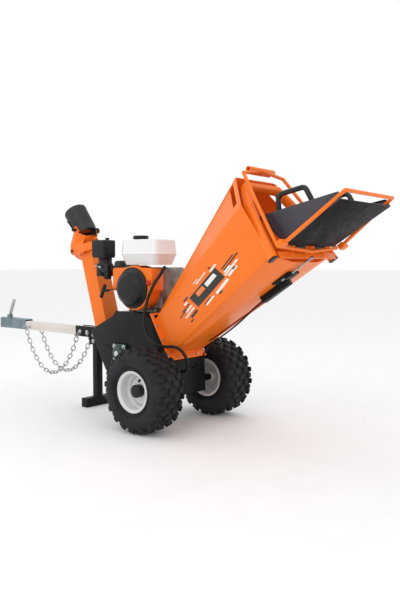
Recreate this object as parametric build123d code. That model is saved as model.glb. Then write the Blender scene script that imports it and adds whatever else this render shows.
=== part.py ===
from build123d import *
import math
import os

# A towable petrol wood chipper.  Millimetres.  Everything is placed from the axle's centre:
# +X runs from the tow coupler to the hopper's mouth, +Y is the belt side, +Z is up.
# The last step lifts the model by the tyre's radius and centres it along X.

# ---------------------------------------------------------------- wheels, axle
tyre_diameter = 410.0
tyre_width = 180.0
tyre_wall = 9.0
track_half = 268.0            # machine centre to a tyre's middle
rim_flange_radius = 100.0
rim_width = 154.0
rim_wall = 4.0
hub_radius = 26.0
axle_radius = 12.7
axle_sleeve_radius = 19.0
running_gap = 0.05            # shaft to bore, on the radius
hub_cap_radius = 31.0
hub_cap_length = 43.0

# ---------------------------------------------------------------- chassis plates
chassis_half = 130.0          # to the outside of a side plate
plate = 6.0                   # side plates
sheet = 4.0                   # folded and rolled sheet
deck_top = 352.0
deck_front = -112.0
deck_back = -345.0
flange_foot = (53.0, 130.0)   # lower edge of the sloping hopper flange, x and z
flange_tilt = 30.5            # flange plane from the vertical, degrees
flange_half = 140.0
flange_height = 262.0
flange_thick = 5.0
slip = 0.3                    # gap between pieces that move past each other

# ---------------------------------------------------------------- rotor and drive
rotor_x = -308.0
rotor_z = 135.0
housing_radius = 128.0
drum_radius = 104.0
drum_half = 95.0
knife_reach = 9.0             # a knife's edge past the drum
rotor_shaft_radius = 15.0
bearing_size = 96.0
bearing_depth = 27.0
bearing_bolt_half = 35.0
crank_x = -192.0
crank_z = 480.0
crank_radius = 12.7
engine_pulley_radius = 52.0
rotor_pulley_radius = 74.0
belt_width = 10.0
belt_depth = 8.0
belt_pitch = 15.0             # from one belt to the next
pulley_start = 162.0          # y of the pulleys' inner face
guard_wall = 2.5
guard_room = 20.0             # belt to guard

# ---------------------------------------------------------------- discharge chute
chute_lean = 16.66            # degrees from the vertical, towards the coupler
collar_centre = (-683.0, 697.0)
chute_length = 462.0
chute_width = 96.0
chute_depth = 104.0
collar_radius = 83.0
elbow_radius = 68.0
elbow_rise = 35.0
elbow_reach = 80.0
elbow_lean = 38.0
deflector_radius = 64.0
deflector_length = 140.0
rim_drop = 15.0               # elbow rim below the deflector's pivot

# ---------------------------------------------------------------- hopper
mouth_foot = (757.0, 656.0)   # lower edge of the mouth plane, x and z
mouth_tilt = 36.1             # mouth plane from the vertical, degrees
mouth_back = 25.0             # shell's end behind the mouth plane
throat_half = 118.0
throat_floor_half = 54.0
throat_top_half = 64.0
throat_low = 32.0
throat_shoulder = 229.0
throat_high = 253.0
mouth_half = 246.0
mouth_floor_half = 100.0
mouth_top_half = 155.0
mouth_shoulder = 280.0
mouth_high = 443.0
mouth_sag = 24.0              # floor panel below the lower folds at the mouth
hoop_half = 243.0
hoop_width = 46.0
hoop_thick = 32.0
hoop_back = 45.0
slot_width = 34.0

# ---------------------------------------------------------------- stop bar and tray
rod_radius = 8.0
ring_half = 263.0
ring_shoulder_half = 253.0
ring_shoulder = 283.0
ring_top_half = 173.0
ring_top = 453.0
u_bar_half = 240.0
u_bar_start = (760.0, 676.0)
u_bar_end = (1052.0, 903.0)
tray_hinge = (744.0, 672.0)
tray_slope = 33.0
tray_start = 14.0             # hinge to the floor's edge
tray_length = 324.0
tray_half = 193.0
tray_flare = 0.085            # side growth per millimetre of length
tray_sheet_thick = 3.0
wing_mouth_height = 198.0
wing_mouth_lean = 141.5       # degrees from +X of the wing's mouth edge
wing_end_height = 36.0
hinge_pin_radius = 5.0
grip_radius = 11.0
grip_height = 64.0

# ---------------------------------------------------------------- drawbar and leg
drawbar_size = 50.0
drawbar_z = 213.0
drawbar_wall = 4.0
drawbar_tail = -668.0
coupler_tip = -1590.0
coupler_length = 288.0
coupler_width = 76.0
coupler_height = 64.0
ball_radius = 25.5
latch_pivot = (-1512.0, 262.0)
latch_length = 118.0
latch_open = 64.0             # degrees from +X at rest
bracket_start = -800.0
bracket_height = 60.0
leg_x = -643.0
leg_size = 40.0
leg_wall = 3.0
foot_size = 50.0
foot_half = 100.0
chain_wire = 6.0
chain_pitch = 30.0
chain_links = 26
chain_start = (-1263.0, 217.0)
chain_end = (-749.0, 208.0)
chain_y = 54.0

# ---------------------------------------------------------------- engine
engine_front = -150.0         # y of the fan shroud's face
engine_back = 108.0           # y of the crankcase's belt side
shroud_radius = 114.0
shroud_left = -346.0
shroud_right = -62.0
shroud_top = 582.0
shroud_depth = 88.0
recoil_radius = 105.0
recoil_depth = 50.0
recoil_wall = 2.5
tank_x = (-290.0, -22.0)
tank_y = (-160.0, 20.0)
tank_z = (597.0, 725.0)
tank_seam = 651.0
tank_wall = 2.5
tank_corner = 38.0
cap_place = (-212.0, -72.0)
cap_radius = 40.0
switch_place = (-75.0, 508.0)  # x and z
switch_radius = 13.0
cleaner_x = (-479.0, -374.0)
cleaner_y = (-180.0, -96.0)
cleaner_z = (634.0, 727.0)
cable_radius = 7.5
lead_radius = 4.0

axle_height = tyre_diameter / 2
x_low = coupler_tip
x_high = u_bar_end[0] + rod_radius
x_shift = -(x_low + x_high) / 2


# ================================================================ helpers
def slab(x0, x1, y0, y1, z0, z1):
    """A box from one corner to the other."""
    return Pos((x0 + x1) / 2, (y0 + y1) / 2, (z0 + z1) / 2) * Box(abs(x1 - x0), abs(y1 - y0), abs(z1 - z0))


def rod(start, end, radius):
    """A round bar between two points."""
    a = Vector(*start)
    b = Vector(*end)
    return Solid.make_cylinder(radius, (b - a).length, Plane(origin=a, z_dir=b - a))


def y_bar(x, z, radius, y0, y1):
    return rod((x, y0, z), (x, y1, z), radius)


def side_profile(points, y0, y1):
    """A side-view outline, points in x and z, made solid from y0 to y1."""
    outline = make_face(Polyline(*[(x, y0, z) for x, z in points], close=True))
    return extrude(outline, amount=y1 - y0, dir=(0, 1, 0))


def turned(profile, x, y, z, axis=(0, 1, 0)):
    """A turned piece: profile points are (along the axis, radius)."""
    outline = make_face(Polyline(*[(r, 0, t) for t, r in profile], close=True))
    body = revolve(outline, Axis.Z)
    return Plane(origin=(x, y, z), z_dir=axis).location * body


def bent_bar(points, radii, radius):
    """A round bar swept through points, with an arc of the given radius at each corner."""
    path = FilletPolyline(*points, radius=radii)
    section = Plane(origin=path @ 0, z_dir=path % 0) * Circle(radius)
    return sweep(section, path=path)


def mirror_y(shape):
    return mirror(shape, Plane.XZ)


def both_sides(shape):
    return shape + mirror_y(shape)


def up_plane(foot, tilt, up, out=0.0):
    """Point in a tilted plane: foot of the plane, its tilt, distance up it and out from it."""
    t = math.radians(tilt)
    x = foot[0] - up * math.sin(t) + out * math.cos(t)
    z = foot[1] + up * math.cos(t) + out * math.sin(t)
    return x, z


def tilted_frame(foot, tilt, y=0.0, up=0.0, out=0.0):
    """A frame in a tilted plane: its X along +Y, its Y up the plane, its Z out of it."""
    t = math.radians(tilt)
    x, z = up_plane(foot, tilt, up, out)
    return Plane(origin=(x, y, z), x_dir=(0, 1, 0), z_dir=(math.cos(t), 0, math.sin(t)))


def lean_point(centre, lean, along, side=0.0):
    """Point along an axis that leans towards -X, and beside it towards -X."""
    t = math.radians(lean)
    x = centre[0] - along * math.sin(t) - side * math.cos(t)
    z = centre[1] + along * math.cos(t) - side * math.sin(t)
    return x, z


def lean_plane(centre, lean, along=0.0):
    t = math.radians(lean)
    x, z = lean_point(centre, lean, along)
    return Plane(origin=(x, 0, z), x_dir=(0, 1, 0), z_dir=(-math.sin(t), 0, math.cos(t)))


def hex_bolt(size, head, shank, place):
    """A hexagon bolt: head outside the plane's face, shank inwards."""
    body = extrude(RegularPolygon(size, 6), amount=head) + Pos(0, 0, -shank / 2) * Cylinder(size * 0.55, shank)
    return place.location * body


# ================================================================ wheels
def tyre(side):
    """Closed section tyre, hollow inside, seated on the rim between its flanges."""
    outer = tyre_diameter / 2
    half = tyre_width / 2
    bead = rim_flange_radius - 12
    seat = rim_width / 2 - 6
    shape = [(-seat, bead), (-seat, rim_flange_radius + 4), (-half, bead + (outer - bead) * 0.48),
             (-half * 0.94, outer - 26), (-half * 0.72, outer - 6), (-half * 0.3, outer)]
    profile = shape + [(-t, r) for t, r in reversed(shape)]
    skin = [(-seat + tyre_wall, bead), (-half + tyre_wall, bead + (outer - bead) * 0.48),
            (-half * 0.94 + tyre_wall, outer - 26 - tyre_wall), (-half * 0.6, outer - 6 - tyre_wall * 1.6)]
    hollow = skin + [(-t, r) for t, r in reversed(skin)]
    return turned(profile, 0, side * track_half, 0) - turned(hollow, 0, side * track_half, 0)


def rim(side):
    """Pressed steel rim with a drop centre, a dished disc and a bored hub."""
    half = rim_width / 2
    seat = rim_flange_radius - 12 - slip
    w = rim_wall
    drop = seat - 12
    barrel = turned([(-half, rim_flange_radius), (-half, rim_flange_radius - w), (-half + w + 2, seat - w),
                     (-22, seat - w), (-14, drop - w), (14, drop - w), (22, seat - w), (half - w - 2, seat - w),
                     (half, rim_flange_radius - w), (half, rim_flange_radius), (half - w, rim_flange_radius),
                     (half - w - 2, seat), (24, seat), (15, drop), (-15, drop), (-24, seat), (-half + w + 2, seat),
                     (-half + w, rim_flange_radius)], 0, side * track_half, 0)
    out = side * track_half
    y_disc = side * 16
    disc = turned([(y_disc - 3, hub_radius - 2), (y_disc + 3, hub_radius - 2), (y_disc + 3, drop - w + 1),
                   (y_disc - 3, drop - w + 1)], 0, out, 0)
    bore = axle_radius + running_gap
    hub = turned([(-45, bore), (28, bore), (28, hub_radius), (-45, hub_radius)], 0, out, 0, (0, side, 0))
    holes = [Pos(0, out, 0) * Rot(0, 72 * i, 0) * Pos(0, y_disc, 52) * Rot(90, 0, 0) * Cylinder(5, 12)
             for i in range(1)]
    body = barrel + disc + hub
    for hole in holes:
        body = body - hole
    return body


def hub_cap(side):
    """Black plastic cap pushed over the hub's outer end."""
    start = side * (track_half + 19.2)
    r = hub_cap_radius
    inside = hub_radius + 0.2
    profile = [(0, inside), (0, r), (hub_cap_length - 8, r), (hub_cap_length, r - 9), (hub_cap_length, 0),
               (hub_cap_length - 4, 0), (hub_cap_length - 4, inside)]
    return turned(profile, 0, start, 0, (0, side, 0))


def axle_beam():
    """Through axle with a sleeve on each side, from the side plate to the hub."""
    end = track_half + 32
    shaft = y_bar(0, 0, axle_radius, -end, end)
    sleeve = y_bar(0, 0, axle_sleeve_radius, chassis_half, track_half - 45 - slip)
    return shaft + both_sides(sleeve)


# ================================================================ chassis
def plate_outline():
    top = up_plane(flange_foot, flange_tilt, flange_height - 37, -flange_thick)
    foot = up_plane(flange_foot, flange_tilt, 2, -flange_thick)
    low = (flange_foot[0] + 2, -55.0)
    return [(-548, 242), (-368, 327), (-345, deck_top + 4), (-150, deck_top), top, foot, low,
            (-120, -62), (-426, 34), (-512, 176)]


def side_plate(side):
    body = side_profile(plate_outline(), side * (chassis_half - plate), side * chassis_half)
    y0 = side * (chassis_half - plate - 1)
    y1 = side * (chassis_half + 1)
    body = body - y_bar(0, 0, axle_radius + 0.1, y0, y1)
    body = body - y_bar(rotor_x, rotor_z, rotor_shaft_radius + 6, y0, y1)
    for dx in (-bearing_bolt_half, bearing_bolt_half):
        for dz in (-bearing_bolt_half, bearing_bolt_half):
            body = body - y_bar(rotor_x + dx, rotor_z + dz, 5.2, y0, y1)
    return body


def chassis_panels():
    """Front and rear panels, a belly strip and the engine deck, welded between the side plates."""
    inside = chassis_half - plate
    x_front = flange_foot[0]
    front = slab(x_front - 5, x_front, -inside, inside, -50, flange_foot[1] - 6)
    rear = both_sides(side_profile([(-505, 172), (-540, 238), (-535, 241), (-500, 175)], chute_depth / 2, inside))
    belly = slab(-110, x_front - 5.2, -inside, inside, -54, -50)
    deck = slab(deck_back, deck_front, -inside, inside, deck_top - plate, deck_top)
    for x, y in engine_bolt_places():
        deck = deck - Pos(x, y, deck_top) * Cylinder(5.2, 30)
    return front + rear + belly + deck


def engine_bolt_places():
    return [(crank_x + dx, y) for dx in (-96, 66) for y in (-50, 70)]


def housing_areas(inset):
    """Rotor housing in side view, moved inwards by inset: the chamber with its inlet, and the outlet."""
    past = inset / sheet                  # an inset area runs past the open ends
    low = up_plane(flange_foot, flange_tilt, throat_low - sheet + inset, -flange_thick + past)
    high = up_plane(flange_foot, flange_tilt, throat_high - 4 - inset, -flange_thick + past)
    inlet = [low, (rotor_x + 138, rotor_z - 12 + inset), (rotor_x, rotor_z),
             (rotor_x + 20, rotor_z + 120 - inset), high]
    half = chute_width / 2 - inset
    left = lean_point(collar_centre, chute_lean, -chute_length + past, half)
    right = lean_point(collar_centre, chute_lean, -chute_length + past, -half)
    outlet = [left, (rotor_x - 250 + inset, rotor_z - 20 + inset / 2),
              (rotor_x - 130 + inset / 2, rotor_z - 98 + inset), (rotor_x, rotor_z - housing_radius + inset),
              (rotor_x, rotor_z), (rotor_x - 110 - inset / 2, rotor_z + 62 - inset), right]
    chamber = Pos(rotor_x, rotor_z) * Circle(housing_radius - inset) + make_face(Polyline(*inlet, close=True))
    return chamber, make_face(Polyline(*outlet, close=True))


def rotor_housing():
    """Rolled chamber between the side plates, with a narrower duct up to the chute."""
    inside = chassis_half - plate
    chamber, outlet = housing_areas(0)
    room, way = housing_areas(sheet)
    body = extrude(Plane.XZ * chamber, amount=inside, both=True)
    body = body + extrude(Plane.XZ * outlet, amount=chute_depth / 2, both=True)
    body = body - extrude(Plane.XZ * room, amount=inside + 1, both=True)
    return body - extrude(Plane.XZ * way, amount=chute_depth / 2 - sheet, both=True)


def duct_back(z):
    """X of the outlet duct's rear face at a height, for what is welded to it."""
    top = lean_point(collar_centre, chute_lean, -chute_length, chute_width / 2)
    low = (rotor_x - 250, rotor_z - 20)
    share = min((z - low[1]) / (top[1] - low[1]), 1.0)
    slope = math.tan(math.radians(chute_lean))
    return low[0] + (top[0] - low[0]) * share - max(z - top[1], 0) * slope


def bed_knife():
    """Fixed counter-knife across the bottom of the inlet."""
    edge = rotor_x + drum_radius + knife_reach + 3
    z = rotor_z + 2
    inside = chassis_half - plate - 2
    return side_profile([(edge, z), (edge + 46, z + 7), (edge + 46, z + 17), (edge + 1, z + 9)], -inside, inside)


# ================================================================ rotor and drive
def rotor_shaft():
    end = pulley_start + 2 * belt_pitch + 8
    return y_bar(rotor_x, rotor_z, rotor_shaft_radius, -chassis_half - bearing_depth - 6, end)


def knife_pocket(angle, grow):
    """One knife lying in the drum's rim, or the pocket for it."""
    tip = drum_radius + knife_reach
    blade = Pos(-3, 0, (tip + drum_radius - 30) / 2) * Box(8 + grow, 2 * drum_half - 8 + grow, tip - drum_radius + 30)
    return Pos(rotor_x, 0, rotor_z) * Rot(0, angle, 0) * blade


def rotor_drum():
    body = y_bar(rotor_x, rotor_z, drum_radius, -drum_half, drum_half)
    body = body - y_bar(rotor_x, rotor_z, rotor_shaft_radius, -drum_half - 1, drum_half + 1)
    for angle in (0, 180):
        gullet = Pos(rotor_x, 0, rotor_z) * Rot(0, angle, 0) * Pos(17, 0, drum_radius) * Box(32, 2 * drum_half - 8, 44)
        body = body - gullet - knife_pocket(angle, 0)
    return body


def rotor_knives():
    return knife_pocket(0, 0) + knife_pocket(180, 0)


def rotor_bearings():
    """Square flange bearings bolted outside the side plates."""
    half = bearing_size / 2
    body = slab(rotor_x - half, rotor_x + half, chassis_half, chassis_half + 12, rotor_z - half, rotor_z + half)
    body = body + y_bar(rotor_x, rotor_z, 36, chassis_half, chassis_half + bearing_depth)
    body = body - y_bar(rotor_x, rotor_z, rotor_shaft_radius + running_gap, chassis_half - 1, chassis_half + 40)
    for dx in (-bearing_bolt_half, bearing_bolt_half):
        for dz in (-bearing_bolt_half, bearing_bolt_half):
            body = body - y_bar(rotor_x + dx, rotor_z + dz, 5.2, chassis_half - 1, chassis_half + 40)
    return body + mirror_y(body)


def pulley(x, z, radius, bore):
    width = 2 * belt_pitch
    body = y_bar(x, z, radius, pulley_start, pulley_start + width)
    for i in range(2):
        mid = pulley_start + belt_pitch * (i + 0.5)
        groove = y_bar(x, z, radius + 1, mid - belt_width / 2 - 0.5, mid + belt_width / 2 + 0.5)
        core = y_bar(x, z, radius - belt_depth - 1, mid - belt_width, mid + belt_width)
        body = body - (groove - core)
    return body - y_bar(x, z, bore, pulley_start - 1, pulley_start + width + 1)


def loop_face(small, large):
    """The area inside a belt line round both pulleys, with the given radii."""
    a = Pos(crank_x, crank_z) * Circle(small)
    b = Pos(rotor_x, rotor_z) * Circle(large)
    return make_hull((a + b).edges())


def drive_belts():
    small = engine_pulley_radius - belt_depth - 1 + slip
    large = rotor_pulley_radius - belt_depth - 1 + slip
    ring = loop_face(small + belt_depth, large + belt_depth) - loop_face(small, large)
    belts = []
    for i in range(2):
        mid = pulley_start + belt_pitch * (i + 0.5)
        belts.append(Pos(0, mid, 0) * extrude(Plane.XZ * ring, amount=belt_width / 2, both=True))
    return belts[0] + belts[1]


def belt_guard():
    """Pressed cover over both pulleys, open towards the machine."""
    start = chassis_half + 2
    end = pulley_start + 2 * belt_pitch + 14
    small = engine_pulley_radius + guard_room + 12
    large = rotor_pulley_radius + guard_room + 4
    outer = extrude(Plane.XZ.offset(-start) * loop_face(small, large), amount=-(end - start))
    inner = extrude(Plane.XZ.offset(-start) * loop_face(small - guard_wall, large - guard_wall),
                    amount=-(end - start - guard_wall))
    return outer - inner


# ================================================================ drawbar, coupler, chains, leg
def drawbar_bracket():
    """Two cheeks that hold the drawbar, joined by straps, with a socket for the leg."""
    inner = drawbar_size / 2
    z0 = drawbar_z - bracket_height / 2
    z1 = drawbar_z + bracket_height / 2
    seam = lean_point(collar_centre, chute_lean, -chute_length, chute_width / 2)[1]
    cheek = side_profile([(bracket_start, z0), (bracket_start, z1), (duct_back(z1), z1), (duct_back(seam), seam),
                          (duct_back(z0 - 14), z0 - 14), (leg_x + 34, z0 - 40), (leg_x - 34, z0 - 40),
                          (leg_x - 40, z0)], inner, inner + plate)
    wall = leg_size / 2 + slip
    back = slab(leg_x + wall, leg_x + wall + 5, -inner, inner, z0 - 40, z1)
    front = slab(leg_x - wall - 5, leg_x - wall, -inner, inner, z0 - 40, z0 - 1)
    packing = slab(leg_x - wall, leg_x + wall, wall, inner, z0 - 40, z0 - 1)
    body = both_sides(cheek + packing) + back + front
    for x in (-761, -699):
        body = body - y_bar(x, drawbar_z - 6, 6.2, -60, 60)
    for z in (drawbar_z - 15, drawbar_z - 50):
        body = body - y_bar(leg_x - 1, z, 5.2, wall, 60) - y_bar(leg_x - 1, z, 5.2, -60, -wall)
    return body


def drawbar():
    half = drawbar_size / 2
    inner = half - drawbar_wall
    start = coupler_tip + coupler_length - 90
    tube = slab(start, drawbar_tail, -half + 0.1, half - 0.1, drawbar_z - half, drawbar_z + half)
    tube = tube - slab(start - 1, drawbar_tail + 1, -inner, inner, drawbar_z - inner, drawbar_z + inner)
    for x in (-761, -699):
        tube = tube - y_bar(x, drawbar_z - 6, 6.2, -60, 60)
    return tube


def coupler_body():
    """Pressed ball coupler: a channel over the drawbar that ends in a domed ball socket."""
    low = drawbar_z - drawbar_size / 2
    top = low + coupler_height
    tail = coupler_tip + coupler_length
    half = coupler_width / 2
    neck = drawbar_size / 2 + 4
    plan = make_face(Polyline((coupler_tip + 26, -half), (coupler_tip + 90, -half), (coupler_tip + 150, -neck),
                              (tail, -neck), (tail, neck), (coupler_tip + 150, neck), (coupler_tip + 90, half),
                              (coupler_tip + 26, half), (coupler_tip, half - 20), (coupler_tip, -half + 20),
                              close=True))
    body = Pos(0, 0, low - 2) * extrude(plan, amount=top - low)
    body = fillet(body.faces().sort_by(Axis.Z)[-1].edges(), 8)
    room = Pos(0, 0, low - 3) * extrude(offset(plan, amount=-4), amount=top - low - 4)
    body = body - room
    body = body - slab(tail - 10, tail + 1, -neck + 4, neck - 4, low - 3, top - 7)
    ball = (coupler_tip + 48, 0, low + 14)
    cup = Pos(ball[0], 0, (low - 6 + top - 5) / 2) * Cylinder(ball_radius + 5, top - 5 - (low - 6))
    cup = cup - Pos(*ball) * Sphere(ball_radius) - Pos(ball[0], 0, low - 6) * Cylinder(ball_radius, 40)
    cup = cup - Pos(ball[0], 0, low - 18) * Box(90, 90, 30)
    pillars = both_sides(slab(latch_pivot[0] - 12, latch_pivot[0] + 12, 9, 13, top - 3, latch_pivot[1] + 9))
    pillars = pillars - y_bar(latch_pivot[0], latch_pivot[1], 4 + running_gap, -20, 20)
    return body + cup + pillars


def coupler_latch():
    """Hand lever of the ball clamp, raised, with its pin."""
    t = math.radians(latch_open)
    px, pz = latch_pivot
    pin = y_bar(px, pz, 4, -16, 16)
    boss = y_bar(px, pz, 8, -8.5, 8.5)
    tip = (px + latch_length * math.cos(t), pz + latch_length * math.sin(t))
    side = (-math.sin(t) * 6, math.cos(t) * 6)
    lever = side_profile([(px - side[0], pz - side[1]), (tip[0] - side[0], tip[1] - side[1]),
                          (tip[0] + side[0], tip[1] + side[1]), (px + side[0], pz + side[1])], -8.5, 8.5)
    mid = (px + latch_length * 0.66 * math.cos(t), pz + latch_length * 0.66 * math.sin(t))
    window = Plane(origin=(mid[0], 0, mid[1]), x_dir=(math.cos(t), 0, math.sin(t)),
                   z_dir=(-math.sin(t), 0, math.cos(t))).location * Box(58, 9, 30)
    return pin + boss + lever - window


def chain_link():
    """One welded link lying along X in its own XY plane."""
    r = chain_wire / 2
    half = chain_pitch / 2 + r
    width = chain_wire * 1.72
    straight = half - width
    path = Wire(Polyline((-straight, width), (straight, width)).edges() +
                [ThreePointArc((straight, width), (half, 0), (straight, -width))] +
                Polyline((straight, -width), (-straight, -width)).edges() +
                [ThreePointArc((-straight, -width), (-half, 0), (-straight, width))])
    return sweep(Plane(origin=(0, width, 0), z_dir=(1, 0, 0)) * Circle(r), path=path)


def chain_places():
    """Middle and slope of each link on the catenary between the two ends."""
    span = chain_end[0] - chain_start[0]
    rise = chain_end[1] - chain_start[1]
    length = chain_links * chain_pitch
    target = math.sqrt(length ** 2 - rise ** 2) / span
    u = 1.0
    for _ in range(60):
        u = u - (math.sinh(u) / u - target) / ((u * math.cosh(u) - math.sinh(u)) / u ** 2)
    a = span / (2 * u)
    low_x = (chain_start[0] + chain_end[0]) / 2 - a * math.atanh(rise / length)
    base = chain_start[1] - a * math.cosh((chain_start[0] - low_x) / a)
    begin = a * math.sinh((chain_start[0] - low_x) / a)
    places = []
    for i in range(chain_links):
        s = begin + chain_pitch * (i + 0.5)
        x = low_x + a * math.asinh(s / a)
        z = base + a * math.cosh((x - low_x) / a)
        places.append((x, z, math.degrees(math.atan(s / a))))
    return places


def safety_chains():
    """Two chains of separate links, hung beside the drawbar from the coupler to the bracket."""
    link = chain_link()
    solids = []
    for y in (-chain_y, chain_y):
        for i, (x, z, slope) in enumerate(chain_places()):
            twist = 45 if i % 2 else -45
            solids.append(Pos(x, y, z) * Rot(0, -slope, 0) * Rot(twist, 0, 0) * link)
    return Compound(children=solids)


def stand_leg():
    """Square leg welded on a cross foot; it slides in the bracket's socket."""
    half = leg_size / 2
    inner = half - leg_wall
    ground = -axle_height
    top = drawbar_z + 12
    foot_top = ground + foot_size
    leg = slab(leg_x - half, leg_x + half, -half, half, foot_top, top)
    leg = leg - slab(leg_x - inner, leg_x + inner, -inner, inner, foot_top + 6, top + 1)
    fh = foot_size / 2
    foot = slab(leg_x - fh, leg_x + fh, -foot_half, foot_half, ground, foot_top)
    foot = foot - slab(leg_x - fh + 3, leg_x + fh - 3, -foot_half + 4, foot_half - 4, ground + 3, foot_top - 3)
    return leg + foot


# ================================================================ discharge chute
def discharge_chute():
    """Leaning box chute with a round swivel flange on top."""
    base = lean_plane(collar_centre, chute_lean, -chute_length)
    length = chute_length - 20
    body = extrude(base * Rectangle(chute_depth, chute_width), amount=length)
    body = body - extrude(base.offset(-1) * Rectangle(chute_depth - 6, chute_width - 6), amount=length + 2)
    top = lean_plane(collar_centre, chute_lean, -20)
    plate_ring = extrude(top * Circle(elbow_radius + 6), amount=5)
    plate_ring = plate_ring - extrude(top.offset(-1) * Rectangle(chute_depth - 6, chute_width - 6), amount=9)
    return body + plate_ring


def elbow_path():
    """Elbow's corner and the deflector's pivot, x and z."""
    corner = lean_point(collar_centre, chute_lean, elbow_rise)
    pivot = lean_point(corner, elbow_lean, elbow_reach)
    return corner, pivot


def elbow_mitre():
    """Plane in which the elbow's two straight tubes meet."""
    corner = elbow_path()[0]
    return lean_plane(corner, (chute_lean + elbow_lean) / 2)


def elbow_solid(radius, extra=0.0):
    """The elbow's two straight runs as one mitred solid bar."""
    corner, pivot = elbow_path()
    spare = radius
    lower = extrude(lean_plane(collar_centre, chute_lean, -extra) * Circle(radius), amount=elbow_rise + extra + spare)
    upper = extrude(lean_plane(corner, elbow_lean, -spare) * Circle(radius), amount=elbow_reach - rim_drop + extra + spare)
    mitre = elbow_mitre()
    return split(lower, bisect_by=mitre, keep=Keep.BOTTOM) + split(upper, bisect_by=mitre, keep=Keep.TOP)


def chute_elbow():
    """Turning elbow: a mitred tube flared over the chute's flange, with two ears for the deflector."""
    pivot = elbow_path()[1]
    wall = 3.0
    band_place = lean_plane(collar_centre, chute_lean, -14)
    band = turned([(0, elbow_radius - wall), (0, collar_radius), (20, collar_radius), (34, elbow_radius - 1),
                   (34, elbow_radius - wall)], band_place.origin.X, 0, band_place.origin.Z, band_place.z_dir)
    ear_place = lean_plane(pivot, elbow_lean, -rim_drop - 6)
    ear_ring = extrude(ear_place * (Circle(elbow_radius) - Circle(elbow_radius - wall + 0.6)), amount=rim_drop + 24)
    ears = ear_ring & (ear_place.location * Pos(0, 0, 15) * Box(300, 36, 42))
    body = elbow_solid(elbow_radius) - elbow_solid(elbow_radius - wall, 2) + band + ears
    skirt = lean_plane(collar_centre, chute_lean, -34)
    lip = turned([(0, elbow_radius + 8), (0, collar_radius), (20, collar_radius), (20, elbow_radius + 8)],
                 skirt.origin.X, 0, skirt.origin.Z, skirt.z_dir)
    body = body + lip - y_bar(pivot[0], pivot[1], 5.05, -100, 100)
    lever = swivel_lever_frame()
    return body - (lever.location * Pos(0, 0, -15) * Cylinder(4.05, 60))


def deflector_tube():
    """Black deflector: a tube with a rounded seat below its pivot, and two pivot bosses."""
    pivot = elbow_path()[1]
    r = deflector_radius
    base = lean_plane(pivot, elbow_lean)
    outer = extrude(base * Circle(r), amount=deflector_length) + Pos(pivot[0], 0, pivot[1]) * Sphere(r)
    outer = outer - extrude(base.offset(-26) * Circle(r * 2), amount=-r * 2)
    inner = extrude(base * Circle(r - 4), amount=deflector_length + 2) + Pos(pivot[0], 0, pivot[1]) * Sphere(r - 4)
    body = outer - inner
    return body - y_bar(pivot[0], pivot[1], 4.1, -100, 100)


def deflector_lever():
    """Cranked clamp lever on the deflector's near pivot."""
    x, z = elbow_path()[1]
    start = -deflector_radius + 5
    screw = y_bar(x, z, 4, start, -elbow_radius - 24)
    boss = y_bar(x, z, 9, -elbow_radius - 1, -elbow_radius - 24)
    arm = rod((x, -elbow_radius - 16, z), (x - 14, -elbow_radius - 42, z + 44), 5)
    end = Pos(x - 14, -elbow_radius - 42, z + 44) * Sphere(6.5)
    return screw + boss + arm + end


def deflector_knob():
    """Round clamp knob on the deflector's far pivot."""
    x, z = elbow_path()[1]
    screw = y_bar(x, z, 4, deflector_radius - 5, elbow_radius + 12)
    profile = [(0, 0), (0, 10), (10, 10), (14, 17), (26, 17), (30, 12), (30, 0)]
    return screw + turned(profile, x, elbow_radius + 1, z)


def swivel_lever_frame():
    """Frame on the collar's skirt, pointing outwards, for the swivel clamp."""
    t = math.radians(205)
    along = lean_plane(collar_centre, chute_lean, -24)
    side = along.x_dir * math.sin(t) + along.y_dir * math.cos(t)
    out = Vector(side.X, side.Y, side.Z)
    if out.X > 0:
        out = Vector(-out.X, out.Y, -out.Z)
    origin = along.origin + out * (collar_radius + 0.5)
    return Plane(origin=origin, z_dir=out)


def swivel_lever():
    """Clamp lever that locks the turning collar."""
    place = swivel_lever_frame()
    screw = Pos(0, 0, -2.0) * Cylinder(4, 16)
    boss = Pos(0, 0, 12) * Cylinder(9, 20)
    arm = rod((0, 0, 14), (18, 34, 34), 5)
    end = Pos(18, 34, 34) * Sphere(6.5)
    return place.location * (screw + boss + arm + end)


# ================================================================ hopper
def hopper_sections(inset):
    """The eight-sided outlines at the throat and at the mouth, moved inwards by inset."""
    i = inset
    low = [(-throat_floor_half, throat_low + i), (throat_floor_half, throat_low + i),
           (throat_half - i, throat_low + 2 + i), (throat_half - i, throat_shoulder),
           (throat_top_half, throat_high - i), (-throat_top_half, throat_high - i),
           (-throat_half + i, throat_shoulder), (-throat_half + i, throat_low + 2 + i)]
    high = [(-mouth_floor_half, -mouth_sag + i), (mouth_floor_half, -mouth_sag + i),
            (mouth_half - i, 10 + i), (mouth_half - i - 5, mouth_shoulder),
            (mouth_top_half, mouth_high - i), (-mouth_top_half, mouth_high - i),
            (-mouth_half + i + 5, mouth_shoulder), (-mouth_half + i, 10 + i)]
    return low, high


def hopper_solid(inset, reach=0.0):
    low, high = hopper_sections(inset)
    at_throat = tilted_frame(flange_foot, flange_tilt, out=0.0)
    at_mouth = tilted_frame(mouth_foot, mouth_tilt, out=-mouth_back)
    first = at_throat * make_face(Polyline(*low, close=True))
    last = at_mouth * make_face(Polyline(*high, close=True))
    body = loft([first.face(), last.face()], ruled=True)
    if reach:
        body = body + extrude(last, amount=reach) + extrude(first, amount=-reach)
    return body


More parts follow.
